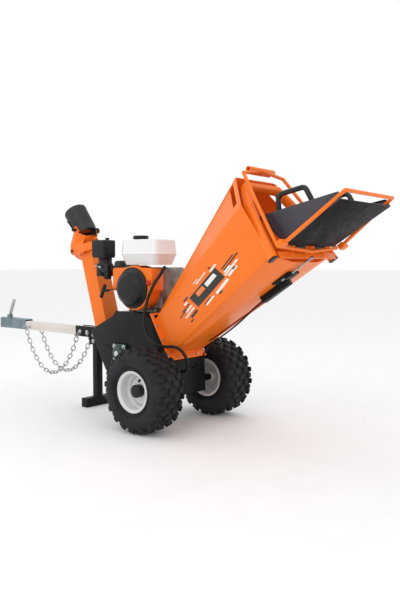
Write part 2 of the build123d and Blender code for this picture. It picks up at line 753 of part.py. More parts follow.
def hopper_shell():
    """Folded feed hopper with its bolted throat flange."""
    body = hopper_solid(0) - hopper_solid(3, 3)
    slot_place = tilted_frame(mouth_foot, mouth_tilt, out=-mouth_back - hoop_width - slot_width / 2 - 4)
    rise = (mouth_shoulder + mouth_high) / 2
    slot = slot_place.location * Pos(-mouth_half, rise, 0) * Box(190, 120, slot_width)
    body = body - slot - mirror_y(slot)
    frame = tilted_frame(flange_foot, flange_tilt, out=-5)
    flange = extrude(frame * (Pos(0, flange_height / 2) * Rectangle(2 * flange_half, flange_height)), amount=5)
    low = hopper_sections(3)[0]
    flange = flange - extrude(frame.offset(-1) * make_face(Polyline(*low, close=True)), amount=8)
    for y, v in flange_bolt_places():
        flange = flange - extrude(frame.offset(-1) * (Pos(y, v) * Circle(4.6)), amount=8)
    seat = tilted_frame(mouth_foot, mouth_tilt, out=-hoop_back - hoop_width / 2 - slip)
    return body - seat.location * Pos(0, 293, 50) * Box(800, 614, 100) + flange


def flange_bolt_places():
    edge = flange_half - 9
    return [(s * edge, v) for s in (-1, 1) for v in (30, 110, 190)] + [(-72, 13), (72, 13)]


def hoop_frame():
    return tilted_frame(mouth_foot, mouth_tilt, out=-hoop_back)


def hoop_bar(inset):
    """The hoop's bent tube as a solid, moved inwards by inset."""
    corner = mouth_shoulder + 4
    side = hoop_half + 4
    half_path = [(0, mouth_high + 4), (mouth_top_half + 8, mouth_high + 4), (side, corner), (side, -8)]
    whole = [(-y, v) for y, v in reversed(half_path[1:])] + half_path[1:]
    line = hoop_frame() * FilletPolyline(*whole, radius=34)
    section = Plane(origin=line @ 0, x_dir=(0, 1, 0), z_dir=line % 0)
    return sweep(section * RectangleRounded(hoop_thick - 2 * inset, hoop_width - 2 * inset, 13 - inset), path=line)


def hopper_hoop():
    """Flattened tube bent round the mouth's sides and top; the shell butts against it."""
    return hoop_bar(0) - hoop_bar(3)


def end_plugs():
    """Plastic plugs in the hoop's two lower ends and in the drawbar's tail."""
    base = hoop_frame()
    place = base.location * Pos(hoop_half + 4, -8, 0) * Rot(90, 0, 0)
    plug = extrude(RectangleRounded(hoop_thick - 0.4, hoop_width - 0.4, 12), amount=5)
    plug = plug + Pos(0, 0, -8) * extrude(RectangleRounded(hoop_thick - 7, hoop_width - 7, 9.5), amount=8)
    one = place * plug
    return one + mirror_y(one)


def throat_curtain():
    """Rubber strips that hang across the throat and stop chips from flying back."""
    strips = []
    for i in range(5):
        y = -60 + 30 * i
        strips.append(slab(66, 71, y - 14.5, y + 14.5, 190, 470))
    body = strips[0]
    for strip in strips[1:]:
        body = body + strip
    return body


# ================================================================ stop bar
def stop_hinge_plate():
    """Sleeve on a web that holds the ring's top bar on the hoop."""
    place = tilted_frame(mouth_foot, mouth_tilt, up=ring_top)
    sleeve = place.location * Rot(0, 90, 0) * Cylinder(rod_radius + 5, 196)
    web = place.location * Pos(0, -7, -19) * Box(170, 7, 26)
    bore = place.location * Rot(0, 90, 0) * Cylinder(rod_radius + running_gap, 400)
    return sleeve + (web - hoop_bar(0)) - bore


def stop_ring():
    """Round bar bent into a closed ring in front of the mouth."""
    base = tilted_frame(mouth_foot, mouth_tilt)
    points = [(0, 0), (ring_half, 0), (ring_shoulder_half, ring_shoulder), (ring_top_half, ring_top), (0, ring_top)]
    line = base * FilletPolyline(*points, radius=[24, 60, 30])
    half = sweep(Plane(origin=line @ 0, z_dir=line % 0) * Circle(rod_radius), path=line)
    return half + mirror_y(half)


def stop_u_bar():
    """U-shaped bar reaching over the tray, clamped to the ring's lower corners."""
    ax, az = u_bar_start
    bx, bz = u_bar_end
    points = [(ax, -u_bar_half, az), (bx, -u_bar_half, bz), (bx, u_bar_half, bz), (ax, u_bar_half, az)]
    bar = bent_bar(points, [34, 34], rod_radius)
    t = math.atan2(bz - az, bx - ax)
    place = Plane(origin=(ax + 14 * math.cos(t), -u_bar_half - 11, az + 14 * math.sin(t)), x_dir=(math.cos(t), 0, math.sin(t)),
                  z_dir=(0, 1, 0))
    clamp = place.location * Box(30, 26, 44)
    keep = stop_ring()
    return bar + (clamp - keep) + mirror_y(clamp - keep)


def stop_slide_frame():
    """Frame of the stop rod: along the hopper's floor, under the mouth."""
    t = math.radians(33)
    return Plane(origin=(770, -34, 622), x_dir=(0, 1, 0), z_dir=(math.cos(t), 0, math.sin(t)))


def stop_rod():
    """Push rod from the stop ring to the engine's stop switch."""
    place = stop_slide_frame()
    shaft = place.location * Pos(0, 0, -76) * Cylinder(5, 184)
    head = place.location * Pos(0, 0, 12) * Cylinder(8, 12)
    return shaft + head


def stop_bracket():
    """Guide and switch housing under the hopper's floor."""
    place = stop_slide_frame()
    guide = place.location * Pos(0, 0, -128) * Box(26, 22, 34)
    case = place.location * Pos(54, -5, -250) * Box(34, 32, 168)
    foot = place.location * Pos(26, 6, -160) * Box(90, 10, 100)
    way = place.location * Pos(0, 0, -140) * Cylinder(5 + running_gap, 280)
    return (guide + case + foot) - hopper_solid(0) - way


# ================================================================ tray
def tray_point(along):
    t = math.radians(tray_slope)
    return tray_hinge[0] + along * math.cos(t), tray_hinge[1] + along * math.sin(t)


def tray_width(x):
    return tray_half + tray_flare * (x - tray_hinge[0])


def wing_corners():
    """Wing outline in side view: floor at the mouth, floor end, upper end, upper corner at the mouth."""
    a = tray_point(tray_start)
    b = tray_point(tray_length)
    t = math.radians(tray_slope + 90)
    c = (b[0] + wing_end_height * math.cos(t), b[1] + wing_end_height * math.sin(t))
    m = math.radians(wing_mouth_lean)
    d = (a[0] + wing_mouth_height * math.cos(m), a[1] + wing_mouth_height * math.sin(m))
    return a, b, c, d


def wing_plate():
    """Near wing: a plane sheet that spreads towards the tray's end."""
    w = tray_sheet_thick
    corners = wing_corners()
    outer = make_face(Polyline(*[(x, -tray_width(x), z) for x, z in corners], close=True))
    return extrude(outer, amount=w, dir=(0, 1, 0))


def wing_lip():
    """Folded strip along a wing's upper edge."""
    w = tray_sheet_thick
    a, b, c, d = wing_corners()
    t = math.atan2(c[1] - d[1], c[0] - d[0])
    n = (math.sin(t) * w, -math.cos(t) * w)
    top = [(d[0], d[1]), (c[0], c[1]), (c[0] + n[0], c[1] + n[1]), (d[0] + n[0], d[1] + n[1])]
    outer = make_face(Polyline(*[(x, -tray_width(x), z) for x, z in top], close=True))
    return extrude(outer, amount=16, dir=(0, 1, 0))


def tray_sheet():
    """Folding feed tray: floor, two wings, end lip, and hinge barrels at the mouth."""
    w = tray_sheet_thick
    a = tray_point(tray_start)
    b = tray_point(tray_length)
    t = math.radians(tray_slope)
    n = (-math.sin(t) * w, math.cos(t) * w)
    outline = [(a[0], -tray_width(a[0])), (b[0], -tray_width(b[0])), (b[0], tray_width(b[0])), (a[0], tray_width(a[0]))]
    lower = make_face(Polyline(*[(x, y, a[1] + (x - a[0]) * math.tan(t)) for x, y in outline], close=True))
    floor = extrude(lower, amount=w, dir=(n[0] / w, 0, n[1] / w))
    body = floor + both_sides(wing_plate() + wing_lip())
    barrel = y_bar(tray_hinge[0], tray_hinge[1], 8, 40, 120) + side_profile(
        [(tray_hinge[0], tray_hinge[1] - 2), (a[0] + 6, a[1] + 2), (a[0] + 6, a[1] + 4), (tray_hinge[0], tray_hinge[1] + 4)],
        40, 120)
    body = body + both_sides(barrel)
    return body - y_bar(tray_hinge[0], tray_hinge[1], hinge_pin_radius + running_gap, -200, 200)


def mouth_sill():
    """Flat bar across the mouth's foot, with lugs and pins that carry the tray."""
    x, z = tray_hinge
    half = hoop_half - hoop_thick / 2 - 2
    place = tilted_frame(mouth_foot, mouth_tilt, out=-mouth_back)
    body = place.location * Pos(0, -4, 2.5) * Box(2 * half, 32, 5)
    hinge = tilted_frame(tray_hinge, mouth_tilt)
    reach = (hinge.origin - place.origin).dot(place.z_dir)
    for y in (34, 126):
        lug = hinge.location * Pos(y, 0, 4 - reach / 2) * Box(8, 17, reach + 8)
        root = place.location * Pos(y, 12, 7.5) * Box(8, 34, 15)
        body = body + both_sides(lug + root)
    return body + both_sides(y_bar(x, z, hinge_pin_radius, 34, 126))


def grip_path():
    a, b, c, d = wing_corners()
    t = math.atan2(c[1] - d[1], c[0] - d[0])
    out = []
    for along, up in ((110, 0), (117, grip_height), (247, grip_height), (270, 0)):
        out.append((d[0] + along * math.cos(t) - up * math.sin(t), d[1] + along * math.sin(t) + up * math.cos(t)))
    return out


def tray_grips():
    """Rubber-covered hand loops standing on the wings."""
    pts = grip_path()
    y = tray_half - 14
    points = [(x, -y, z) for x, z in pts]
    one = bent_bar(points, [24, 24], grip_radius) - wing_plate() - wing_lip()
    return one + mirror_y(one)


# ================================================================ engine
def engine_block():
    """Crankcase with a sloping finned cylinder, bored for the crankshaft, on four feet."""
    x0 = shroud_left + 56
    x1 = shroud_right - 6
    y0 = engine_front + shroud_depth + slip
    base = deck_top
    case = slab(x0, x1, y0, engine_back, base + 23, base + 232)
    case = fillet(case.edges().filter_by(Axis.Y), 22)
    cover = y_bar(crank_x, crank_z, 92, engine_back, engine_back + 10)
    boss = y_bar(crank_x, crank_z, 26, engine_back + 10, engine_back + 20)
    body = case + cover + boss
    for x, y in engine_bolt_places():
        body = body + slab(x - 20, x + 20, y - 18, y + 18, base, base + 12)
    body = body + slab(crank_x - 80, crank_x + 50, -60, 84, base, base + 30)
    for i in range(6):
        x = x0 - 10 - 15 * i
        body = body + slab(x - 2.5, x + 2.5, y0 + 6, engine_back - 20, base + 96, base + 236)
    body = body + slab(x0 - 100, x0 + 10, y0 + 22, engine_back - 36, base + 112, base + 220)
    plug = y_bar(x1 - 36, base + 34, 11, y0 - 10, y0 + 2)
    filler = rod((x1 - 8, y0 + 40, base + 60), (x1 + 22, y0 + 40, base + 78), 13)
    body = body + plug + filler
    for x, y in engine_bolt_places():
        body = body - Pos(x, y, base) * Cylinder(5.2, 30)
    return body - y_bar(crank_x, crank_z, crank_radius + running_gap, y0 - 20, engine_back + 40)


def shroud_face():
    """Outline of the fan shroud seen from the starter side."""
    circle = Pos(crank_x, crank_z) * Circle(shroud_radius)
    width = shroud_right - shroud_left
    low = crank_z - 18
    top = Pos((shroud_left + shroud_right) / 2, (low + shroud_top) / 2) * RectangleRounded(width, shroud_top - low, 16)
    return circle + top


def fan_shroud():
    """Pressed cowl over the flywheel, open at the back, with a round hole in front."""
    front = engine_front
    outer = Pos(0, front, 0) * extrude(Plane.XZ * shroud_face(), amount=-shroud_depth)
    outer = fillet(outer.faces().sort_by(Axis.Y)[0].edges(), 9)
    inner = Pos(0, front + 3, 0) * extrude(Plane.XZ * offset(shroud_face(), amount=-3), amount=-shroud_depth)
    body = outer - inner
    body = body - y_bar(crank_x, crank_z, recoil_radius - 12, front - 5, front + 5)
    return body - y_bar(switch_place[0], switch_place[1], 8.5, front - 5, front + 5)


def recoil_cover():
    """Domed starter cover with a rope hole on its coupler side."""
    r = recoil_radius
    w = recoil_wall
    d = recoil_depth
    profile = [(0, r), (6, r), (14, r - 10), (d - 14, r - 22), (d, r - 46), (d, 0), (d - w, 0), (d - w, r - 48),
               (d - 15, r - 25), (13, r - 13), (5, r - 12), (0, r - 12)]
    body = turned(profile, crank_x, engine_front - slip, crank_z, (0, -1, 0))
    start, way = rope_line()
    return body - rod(start, tuple(s + 60 * w for s, w in zip(start, way)), 4.0)


def rope_line():
    """Where the starter rope lies inside the cover, and the way it is pulled."""
    lean = math.radians(8)
    way = (-math.cos(lean), 0.0, -math.sin(lean))
    start = (crank_x - recoil_radius + 42, engine_front - 26, crank_z - 2)
    return start, way


def recoil_handle():
    """T-handle with the first length of its rope."""
    start, way = rope_line()
    inside = tuple(s - 120 * w for s, w in zip(start, way))
    knot = tuple(s + 136 * w for s, w in zip(start, way))
    rope = rod(inside, knot, 2.6)
    stem = rod(tuple(s + 92 * w for s, w in zip(start, way)), knot, 7)
    up = (math.sin(math.radians(26)), 0, math.cos(math.radians(26)))
    low = tuple(k - 38 * u for k, u in zip(knot, up))
    high = tuple(k + 38 * u for k, u in zip(knot, up))
    grip = rod(low, high, 10)
    grip = fillet(grip.edges(), 5)
    return rope + stem + grip


def flywheel():
    """Finned flywheel keyed on the crankshaft inside the shroud."""
    y0 = engine_front + 14
    body = turned([(0, 20), (0, 78), (26, 78), (26, 60), (14, 56), (14, 24), (26, 24), (26, 20)], crank_x, y0, crank_z)
    for i in range(16):
        fin = Pos(crank_x, y0 - 3, crank_z) * Rot(0, i * 22.5, 0) * Pos(64, 0, 0) * Box(24, 10, 3)
        body = body + fin
    hub = y_bar(crank_x, crank_z, 24, y0, y0 + 26)
    return body + hub - y_bar(crank_x, crank_z, crank_radius, y0 - 10, y0 + 60)


def crankshaft():
    end = pulley_start + 2 * belt_pitch + 6
    return y_bar(crank_x, crank_z, crank_radius, engine_front + 2, end)


def fuel_tank():
    """Two tapered halves welded on a seam, hollow, with a filler neck."""
    x0, x1 = tank_x
    y0, y1 = tank_y
    z0, z1 = tank_z
    mid = Pos((x0 + x1) / 2, (y0 + y1) / 2, 0)
    wide = x1 - x0 - 4
    deep = y1 - y0 - 4

    def shell(shrink):
        w = wide - 2 * shrink
        d = deep - 2 * shrink
        seam_low = Plane.XY.offset(tank_seam)
        upper = loft([(seam_low * RectangleRounded(w, d, tank_corner)).face(),
                      (Plane.XY.offset(z1 - shrink) * RectangleRounded(w - 10, d - 10, tank_corner)).face()])
        lower = loft([(seam_low * RectangleRounded(w, d, tank_corner)).face(),
                      (Plane.XY.offset(z0 + shrink) * RectangleRounded(w - 34, d - 34, tank_corner)).face()])
        return mid * (upper + lower)

    outer = shell(0)
    outer = fillet(outer.faces().sort_by(Axis.Z)[-1].edges(), 9)
    lip = mid * (Pos(0, 0, tank_seam - 2) * extrude(RectangleRounded(wide + 4, deep + 4, tank_corner + 2), amount=4))
    neck = Pos(cap_place[0], cap_place[1], z1) * Cylinder(28, 12)
    body = outer + lip + neck - shell(tank_wall)
    bore = Pos(cap_place[0], cap_place[1], z1) * Cylinder(25, 40)
    return body - bore


def fuel_cap():
    """Screwed cap over the filler neck."""
    z1 = tank_z[1]
    x, y = cap_place
    body = Pos(x, y, z1 + 13) * Cylinder(cap_radius, 18)
    body = fillet(body.edges().sort_by(Axis.Z)[-1], 5)
    return body - Pos(x, y, z1 + 5) * Cylinder(28 + slip, 12)


def air_cleaner():
    """Box air cleaner with a lifted lid edge and a wing nut."""
    x0, x1 = cleaner_x
    y0, y1 = cleaner_y
    z0, z1 = cleaner_z
    lid = slab(x0, x1, y0, y1, z0 + 12, z1)
    lid = fillet(lid.edges().filter_by(Axis.Z), 12)
    lid = fillet(lid.faces().sort_by(Axis.Z)[-1].edges(), 8)
    base = slab(x0 + 5, x1 - 5, y0 + 6, y1 - 4, z0, z0 + 12)
    middle = ((x0 + x1) / 2 + 30, (y0 + y1) / 2)
    nut = Pos(middle[0], middle[1], z1 + 5) * Cylinder(7, 10)
    wing = Pos(middle[0], middle[1], z1 + 7) * Box(30, 4, 10)
    inner = slab(x0 + 3, x1 - 3, y0 + 3, y1 - 3, z0 + 16, z1 - 3)
    return lid + base + nut + wing - inner


def carburettor():
    """Carburettor with its bowl and the moulded control case under the air cleaner."""
    x0, x1 = cleaner_x
    y0 = cleaner_y[0] + 34
    case = slab(x0 + 2, x1 - 14, y0, y0 + 44, cleaner_z[0] - 98, cleaner_z[0] - 30)
    case = fillet(case.edges().filter_by(Axis.Z), 6)
    throat = slab(x0 + 14, x1 - 26, y0 + 6, y0 + 44, cleaner_z[0] - 30, cleaner_z[0])
    bowl = Pos(x1 - 42, y0 + 30, cleaner_z[0] - 106) * Cylinder(17, 16)
    manifold = slab(x1 - 14, shroud_left + 52, y0 + 20, y0 + 36, cleaner_z[0] - 70, cleaner_z[0] - 40)
    manifold = manifold - slab(shroud_left - 1, shroud_right, engine_front - 1, engine_front + shroud_depth + 1,
                               crank_z - 130, shroud_top + 1)
    body = case + throat + bowl + manifold
    for z in (cleaner_z[0] - 84, cleaner_z[0] - 50):
        body = body - y_bar(control_pivot_x(), z, 3.05, y0 - 1, y0 + 12)
    return body


def control_pivot_x():
    return cleaner_x[0] + 40


def control_lever(z, length, lean):
    """Small lever on the control case, with its pivot stub."""
    y0 = cleaner_y[0] + 34
    x = control_pivot_x()
    t = math.radians(lean)
    stub = y_bar(x, z, 3, y0 + 11, y0 - 9)
    boss = y_bar(x, z, 7, y0 - slip, y0 - 7)
    end = (x + length * math.cos(t), z + length * math.sin(t))
    arm = Pos((x + end[0]) / 2, y0 - 5, (z + end[1]) / 2) * Rot(0, -lean, 0) * Box(length, 3, 6)
    knob = y_bar(end[0], end[1], 5.5, y0 - 10, y0 - 3.5)
    return stub + boss + arm + knob


def choke_lever():
    return control_lever(cleaner_z[0] - 50, 31, 168)


def throttle_lever():
    return control_lever(cleaner_z[0] - 84, 44, 330)


def muffler():
    """Rounded silencer box beside the cylinder, with an inlet stub and an outlet pipe."""
    x1 = shroud_left - 50
    z = deck_top + 222
    body = slab(x1 - 78, x1, -20, 92, z - 45, z + 45)
    body = fillet(body.edges().filter_by(Axis.Y), 22)
    body = body - slab(x1 - 64, x1 - 14, -17, 89, z - 30, z + 30)
    stub = rod((x1 - 1, 30, z - 34), (x1 + 6, 30, z - 34), 16)
    pipe = rod((x1 - 40, 92, z), (x1 - 40, 116, z), 12) - rod((x1 - 40, 98, z), (x1 - 40, 118, z), 10)
    return body + stub + pipe


def engine_switch():
    """Red turning switch in the shroud's face."""
    x, z = switch_place
    stem = y_bar(x, z, 8, engine_front - 4, engine_front + 8)
    knob = y_bar(x, z, switch_radius, engine_front - 12, engine_front - 1)
    ridge = Pos(x, engine_front - 14, z) * Box(6, 8, 2 * switch_radius - 6)
    return stem + knob + ridge


# ================================================================ cables
cable_route = [(-40, -74, 588), (-38, -102, 555), (-46, -150, 500), (-66, -172, 430), (-86, -176, 356),
               (-88, -174, 292), (-66, -170, 240), (-22, -164, 208), (42, -160, 200), (98, -154, 206),
               (132, -140, 188), (140, -112, 146), (122, -82, 98), (88, -66, 72), (55, -62, 68)]
lead_route = [(55, 30, 76), (84, 30, 88), (112, 30, 130), (148, 28, 182), (206, 24, 226), (270, 22, 265),
              (334, 20, 308), (390, 20, 352), (440, 20, 396), (484.5, 20, 428.5)]


def cord_radii(route):
    """Largest tangent arcs that the runs allow, one for each corner."""
    radii = []
    for before, here, after in zip(route, route[1:], route[2:]):
        a = Vector(*here) - Vector(*before)
        b = Vector(*after) - Vector(*here)
        turn = math.radians(a.get_angle(b))
        radii.append(0.45 * min(a.length, b.length) / math.tan(turn / 2))
    return radii


def cord(route, radius, name):
    radii = cord_radii(route)
    print(name, "arc radii", [round(r) for r in radii])
    body = bent_bar(route, radii, radius)
    path = FilletPolyline(*route, radius=radii)
    ratio = body.volume / (math.pi * radius ** 2 * path.length)
    print(name, "length", round(path.length), "volume ratio", round(ratio, 4))
    return body


def control_cable():
    """Wiring loom clipped past the hopper's foot, and the stop lead under the hopper's floor."""
    return cord(cable_route, cable_radius, "loom") + cord(lead_route, lead_radius, "stop lead")


# ================================================================ fasteners
def frame_bolts():
    """Hexagon bolts of the chassis, the bearings, the bracket and the hopper's flange."""
    bolts = []
    near = -chassis_half
    for dx in (-bearing_bolt_half, bearing_bolt_half):
        for dz in (-bearing_bolt_half, bearing_bolt_half):
            for side in (-1, 1):
                place = Plane(origin=(rotor_x + dx, side * (chassis_half + 12), rotor_z + dz), z_dir=(0, side, 0))
                bolts.append(hex_bolt(9, 7, 17.9, place))
    for y, v in flange_bolt_places():
        bolts.append(hex_bolt(8, 6, 5, tilted_frame(flange_foot, flange_tilt, y=y, up=v)))
    cheek = drawbar_size / 2 + plate
    for x in (-761, -699):
        for side in (-1, 1):
            place = Plane(origin=(x, side * cheek, drawbar_z - 6), z_dir=(0, side, 0))
            bolts.append(hex_bolt(11, 8, plate + drawbar_wall, place))
    for z in (drawbar_z - 15, drawbar_z - 50):
        for side in (-1, 1):
            place = Plane(origin=(leg_x - 1, side * cheek, z), z_dir=(0, side, 0))
            bolts.append(hex_bolt(9, 7, cheek - leg_size / 2 - slip, place))
    first, last = chain_places()[0], chain_places()[-1]
    for side in (-1, 1):
        for (x, z, slope), face in ((first, drawbar_size / 2), (last, cheek)):
            shank = chain_y + 14 - face
            place = Plane(origin=(x, side * (chain_y + 14), z), z_dir=(0, side, 0))
            bolts.append(hex_bolt(7.2, 5, shank, place))
    for x, y in engine_bolt_places():
        bolts.append(hex_bolt(9, 7, 12 + plate, Plane(origin=(x, y, deck_top + 12), z_dir=(0, 0, 1))))
    return Compound(children=bolts)


def nodes():
    return {
        "tyre_near": tyre(-1), "tyre_far": tyre(1), "rim_near": rim(-1), "rim_far": rim(1),
        "hub_cap_near": hub_cap(-1), "hub_cap_far": hub_cap(1), "axle_beam": axle_beam(),
        "side_plate_near": side_plate(-1), "side_plate_far": side_plate(1), "chassis_panels": chassis_panels(),
        "rotor_housing": rotor_housing(), "bed_knife": bed_knife(),
        "rotor_shaft": rotor_shaft(), "rotor_drum": rotor_drum(), "rotor_knives": rotor_knives(),
        "rotor_bearings": rotor_bearings(),
        "driven_pulley": pulley(rotor_x, rotor_z, rotor_pulley_radius, rotor_shaft_radius),
        "drive_pulley": pulley(crank_x, crank_z, engine_pulley_radius, crank_radius),
        "drive_belts": drive_belts(), "belt_guard": belt_guard(),
        "drawbar_bracket": drawbar_bracket(), "drawbar": drawbar(), "coupler_body": coupler_body(),
        "coupler_latch": coupler_latch(), "safety_chains": safety_chains(), "stand_leg": stand_leg(),
        "discharge_chute": discharge_chute(), "chute_elbow": chute_elbow(), "deflector_tube": deflector_tube(),
        "deflector_lever": deflector_lever(), "deflector_knob": deflector_knob(), "swivel_lever": swivel_lever(),
        "hopper_shell": hopper_shell(), "hopper_hoop": hopper_hoop(), "end_plugs": end_plugs(),
        "throat_curtain": throat_curtain(), "mouth_sill": mouth_sill(),
        "stop_hinge_plate": stop_hinge_plate(), "stop_ring": stop_ring(), "stop_u_bar": stop_u_bar(),
        "stop_rod": stop_rod(), "stop_bracket": stop_bracket(),
        "tray_sheet": tray_sheet(), "tray_grips": tray_grips(),
        "engine_block": engine_block(), "fan_shroud": fan_shroud(), "recoil_cover": recoil_cover(),
        "recoil_handle": recoil_handle(), "flywheel": flywheel(), "crankshaft": crankshaft(),
        "fuel_tank": fuel_tank(), "fuel_cap": fuel_cap(), "air_cleaner": air_cleaner(),
        "carburettor": carburettor(), "choke_lever": choke_lever(), "throttle_lever": throttle_lever(),
        "muffler": muffler(), "engine_switch": engine_switch(), "control_cable": control_cable(),
        "frame_bolts": frame_bolts(),
    }


def main():
    os.makedirs("parts", exist_ok=True)
    home = Pos(x_shift, 0, axle_height)
    for name, shape in nodes().items():
        export_step(home * shape, "parts/" + name + ".step")


if __name__ == "__main__":
    main()
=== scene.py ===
import math

import bmesh
import bpy
from mathutils import Euler, Matrix, Vector


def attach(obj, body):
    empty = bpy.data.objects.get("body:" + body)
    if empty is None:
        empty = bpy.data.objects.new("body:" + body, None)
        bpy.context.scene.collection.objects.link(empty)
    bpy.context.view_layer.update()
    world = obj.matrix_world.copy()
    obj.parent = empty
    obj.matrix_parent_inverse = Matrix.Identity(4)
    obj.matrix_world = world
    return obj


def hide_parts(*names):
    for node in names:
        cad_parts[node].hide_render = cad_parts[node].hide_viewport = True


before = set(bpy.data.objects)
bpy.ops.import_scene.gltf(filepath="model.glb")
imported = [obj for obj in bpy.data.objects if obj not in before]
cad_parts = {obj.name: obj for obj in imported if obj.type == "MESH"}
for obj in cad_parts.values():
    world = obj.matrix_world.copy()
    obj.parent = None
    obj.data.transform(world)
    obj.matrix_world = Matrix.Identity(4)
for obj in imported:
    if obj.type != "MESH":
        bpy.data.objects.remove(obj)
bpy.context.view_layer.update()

# Sizes are in millimetres from the axle's centre: +X to the feed tray, +Y the belt side, +Z up.
AXLE_X = 265.0
AXLE_Z = 205.0
TRACK_HALF = 268.0            # machine centre to a tyre's middle
LUGS = 19                     # tread blocks around a tyre
ROD_RADIUS = 8.0              # stop ring and U-bar
HOOP_HALF = 247.0
HOOP_OUT = -45.0              # hoop's middle from the mouth plane
SHEET_OUT = -25.0             # hopper sheet's end from the mouth plane
ELBOW_REACH = 80.0            # elbow's bend to the deflector's pivot
ELBOW_RISE = 35.0             # collar to the elbow's bend
ELBOW_RADIUS = 68.0
RIM_DROP = 15.0               # elbow's rim below the deflector's pivot


def at(x, y, z):
    """A point given in millimetres from the axle's centre, in the row frame in metres."""
    return Vector(((x + AXLE_X) / 1000, y / 1000, (z + AXLE_Z) / 1000))


# ---------------------------------------------------------------- camera
lens = bpy.data.cameras.new("studio camera")
lens.sensor_width = 36.0
lens.lens = 39.48
camera = bpy.data.objects.new("studio camera", lens)
camera.location = (2.498, -2.465, 0.815)
camera.rotation_euler = (math.radians(86.72), 0.0, math.radians(40.5))
bpy.context.scene.collection.objects.link(camera)
bpy.context.scene.camera = camera


# ---------------------------------------------------------------- materials
class Recipe:
    """A node tree for one finish, with short ways to add nodes and link them."""

    def __init__(self, name):
        self.material = bpy.data.materials.new(name)
        self.material.use_nodes = True
        self.tree = self.material.node_tree
        self.shader = self.tree.nodes["Principled BSDF"]
        self.place = self.tree.nodes.new("ShaderNodeTexCoord").outputs["Object"]

    def add(self, kind, **settings):
        node = self.tree.nodes.new(kind)
        for key, value in settings.items():
            if hasattr(node, key):
                setattr(node, key, value)
            else:
                node.inputs[key.replace("_", " ")].default_value = value
        return node

    def link(self, output, target):
        self.tree.links.new(output, target)

    def noise(self, scale, detail=3.0, rough=0.55, stretch=None):
        node = self.add("ShaderNodeTexNoise")
        node.inputs["Scale"].default_value = scale
        node.inputs["Detail"].default_value = detail
        node.inputs["Roughness"].default_value = rough
        source = self.place
        if stretch:
            mapping = self.add("ShaderNodeMapping")
            mapping.inputs["Scale"].default_value = stretch
            self.link(self.place, mapping.inputs["Vector"])
            source = mapping.outputs["Vector"]
        self.link(source, node.inputs["Vector"])
        return node.outputs["Fac"]

    def spread(self, value, low, high, start=0.0, end=1.0):
        node = self.add("ShaderNodeMapRange")
        node.inputs["From Min"].default_value = start
        node.inputs["From Max"].default_value = end
        node.inputs["To Min"].default_value = low
        node.inputs["To Max"].default_value = high
        self.link(value, node.inputs["Value"])
        return node.outputs["Result"]

    def mix(self, amount, first, second):
        node = self.add("ShaderNodeMix", data_type="RGBA")
        sockets = [s for s in node.inputs if s.type == "RGBA"]
        for socket, colour in zip(sockets, (first, second)):
            if hasattr(colour, "links"):
                self.link(colour, socket)
            else:
                socket.default_value = (*colour, 1.0)
        self.link(amount, node.inputs["Factor"])
        return [s for s in node.outputs if s.type == "RGBA"][0]

    def bump(self, value, strength, distance):
        node = self.add("ShaderNodeBump")
        node.inputs["Strength"].default_value = strength
        node.inputs["Distance"].default_value = distance
        self.link(value, node.inputs["Height"])
        self.link(node.outputs["Normal"], self.shader.inputs["Normal"])


def finish(name, colour, other, rough, metal=0.0, coat=0.0, coat_rough=0.1, cloud=6.0, grain=900.0,
           bump=0.05, height=0.0003, rough_spread=0.08, stretch=None, level=0.5):
    """A finish with clouded colour, uneven gloss and a fine surface grain."""
    r = Recipe(name)
    clouds = r.spread(r.noise(cloud, 5.0), 0.0, 1.0, 0.35, 0.68)
    r.link(r.mix(clouds, colour, other), r.shader.inputs["Base Color"])
    r.link(r.spread(r.noise(cloud * 5, 4.0, stretch=stretch), rough - rough_spread, rough + rough_spread,
                    0.3, 0.7),
           r.shader.inputs["Roughness"])
    r.bump(r.noise(grain, 2.0, stretch=stretch), bump, height)
    r.shader.inputs["Metallic"].default_value = metal
    r.shader.inputs["Coat Weight"].default_value = coat
    r.shader.inputs["Coat Roughness"].default_value = coat_rough
    r.shader.inputs["Specular IOR Level"].default_value = level
    return r.material


orange_gloss = finish("orange gloss paint", (0.90, 0.185, 0.012), (0.86, 0.17, 0.011), 0.36, coat=0.06,
                      coat_rough=0.12, grain=700, bump=0.03, cloud=3.0, rough_spread=0.05, level=0.22)
black_satin = finish("black satin paint", (0.006, 0.006, 0.0065), (0.009, 0.009, 0.010), 0.40, grain=1400,
                     bump=0.12, height=0.0002, cloud=8.0, level=0.16)
# Lit and shaded copies of the tray's black paint: this purple-grey one carries a painted sheen.
tray_painted_sheen = finish("tray black paint with painted sheen", (0.030, 0.026, 0.038), (0.050, 0.044, 0.060), 0.38, metal=0.15,
                    grain=1100, bump=0.10, cloud=7.0, level=0.5)
# The near-black copy is painted shade for the tray's downward faces.
tray_painted_shade = finish("tray underside painted shade", (0.004, 0.004, 0.004), (0.006, 0.006, 0.006), 0.50, grain=1100,
                    bump=0.10, cloud=7.0, level=0.08)
tank_white = finish("tank white paint", (0.80, 0.79, 0.79), (0.76, 0.75, 0.75), 0.22, coat=0.5, grain=500,
                    bump=0.02)
rim_white = finish("rim white paint", (0.70, 0.70, 0.69), (0.62, 0.62, 0.61), 0.42, grain=900, bump=0.06,
                   level=0.3)
cream_paint = finish("drawbar cream paint", (0.70, 0.66, 0.62), (0.66, 0.62, 0.57), 0.45, grain=900,
                     bump=0.06, level=0.3)
zinc_blue = finish("blue zinc plate", (0.16, 0.22, 0.25), (0.24, 0.31, 0.34), 0.40, metal=0.85, cloud=14,
                   grain=500, bump=0.06)
zinc_bright = finish("bright zinc plate", (0.36, 0.37, 0.39), (0.50, 0.51, 0.52), 0.30, metal=1.0, cloud=40,
                     grain=900, bump=0.04)
bearing_green = finish("green primer casting", (0.02, 0.075, 0.05), (0.03, 0.05, 0.045), 0.45, grain=400,
                       bump=0.25)
tyre_rubber = finish("tyre rubber", (0.012, 0.011, 0.013), (0.020, 0.019, 0.022), 0.62, grain=420, bump=0.35,
                     height=0.0006, cloud=12, level=0.22)
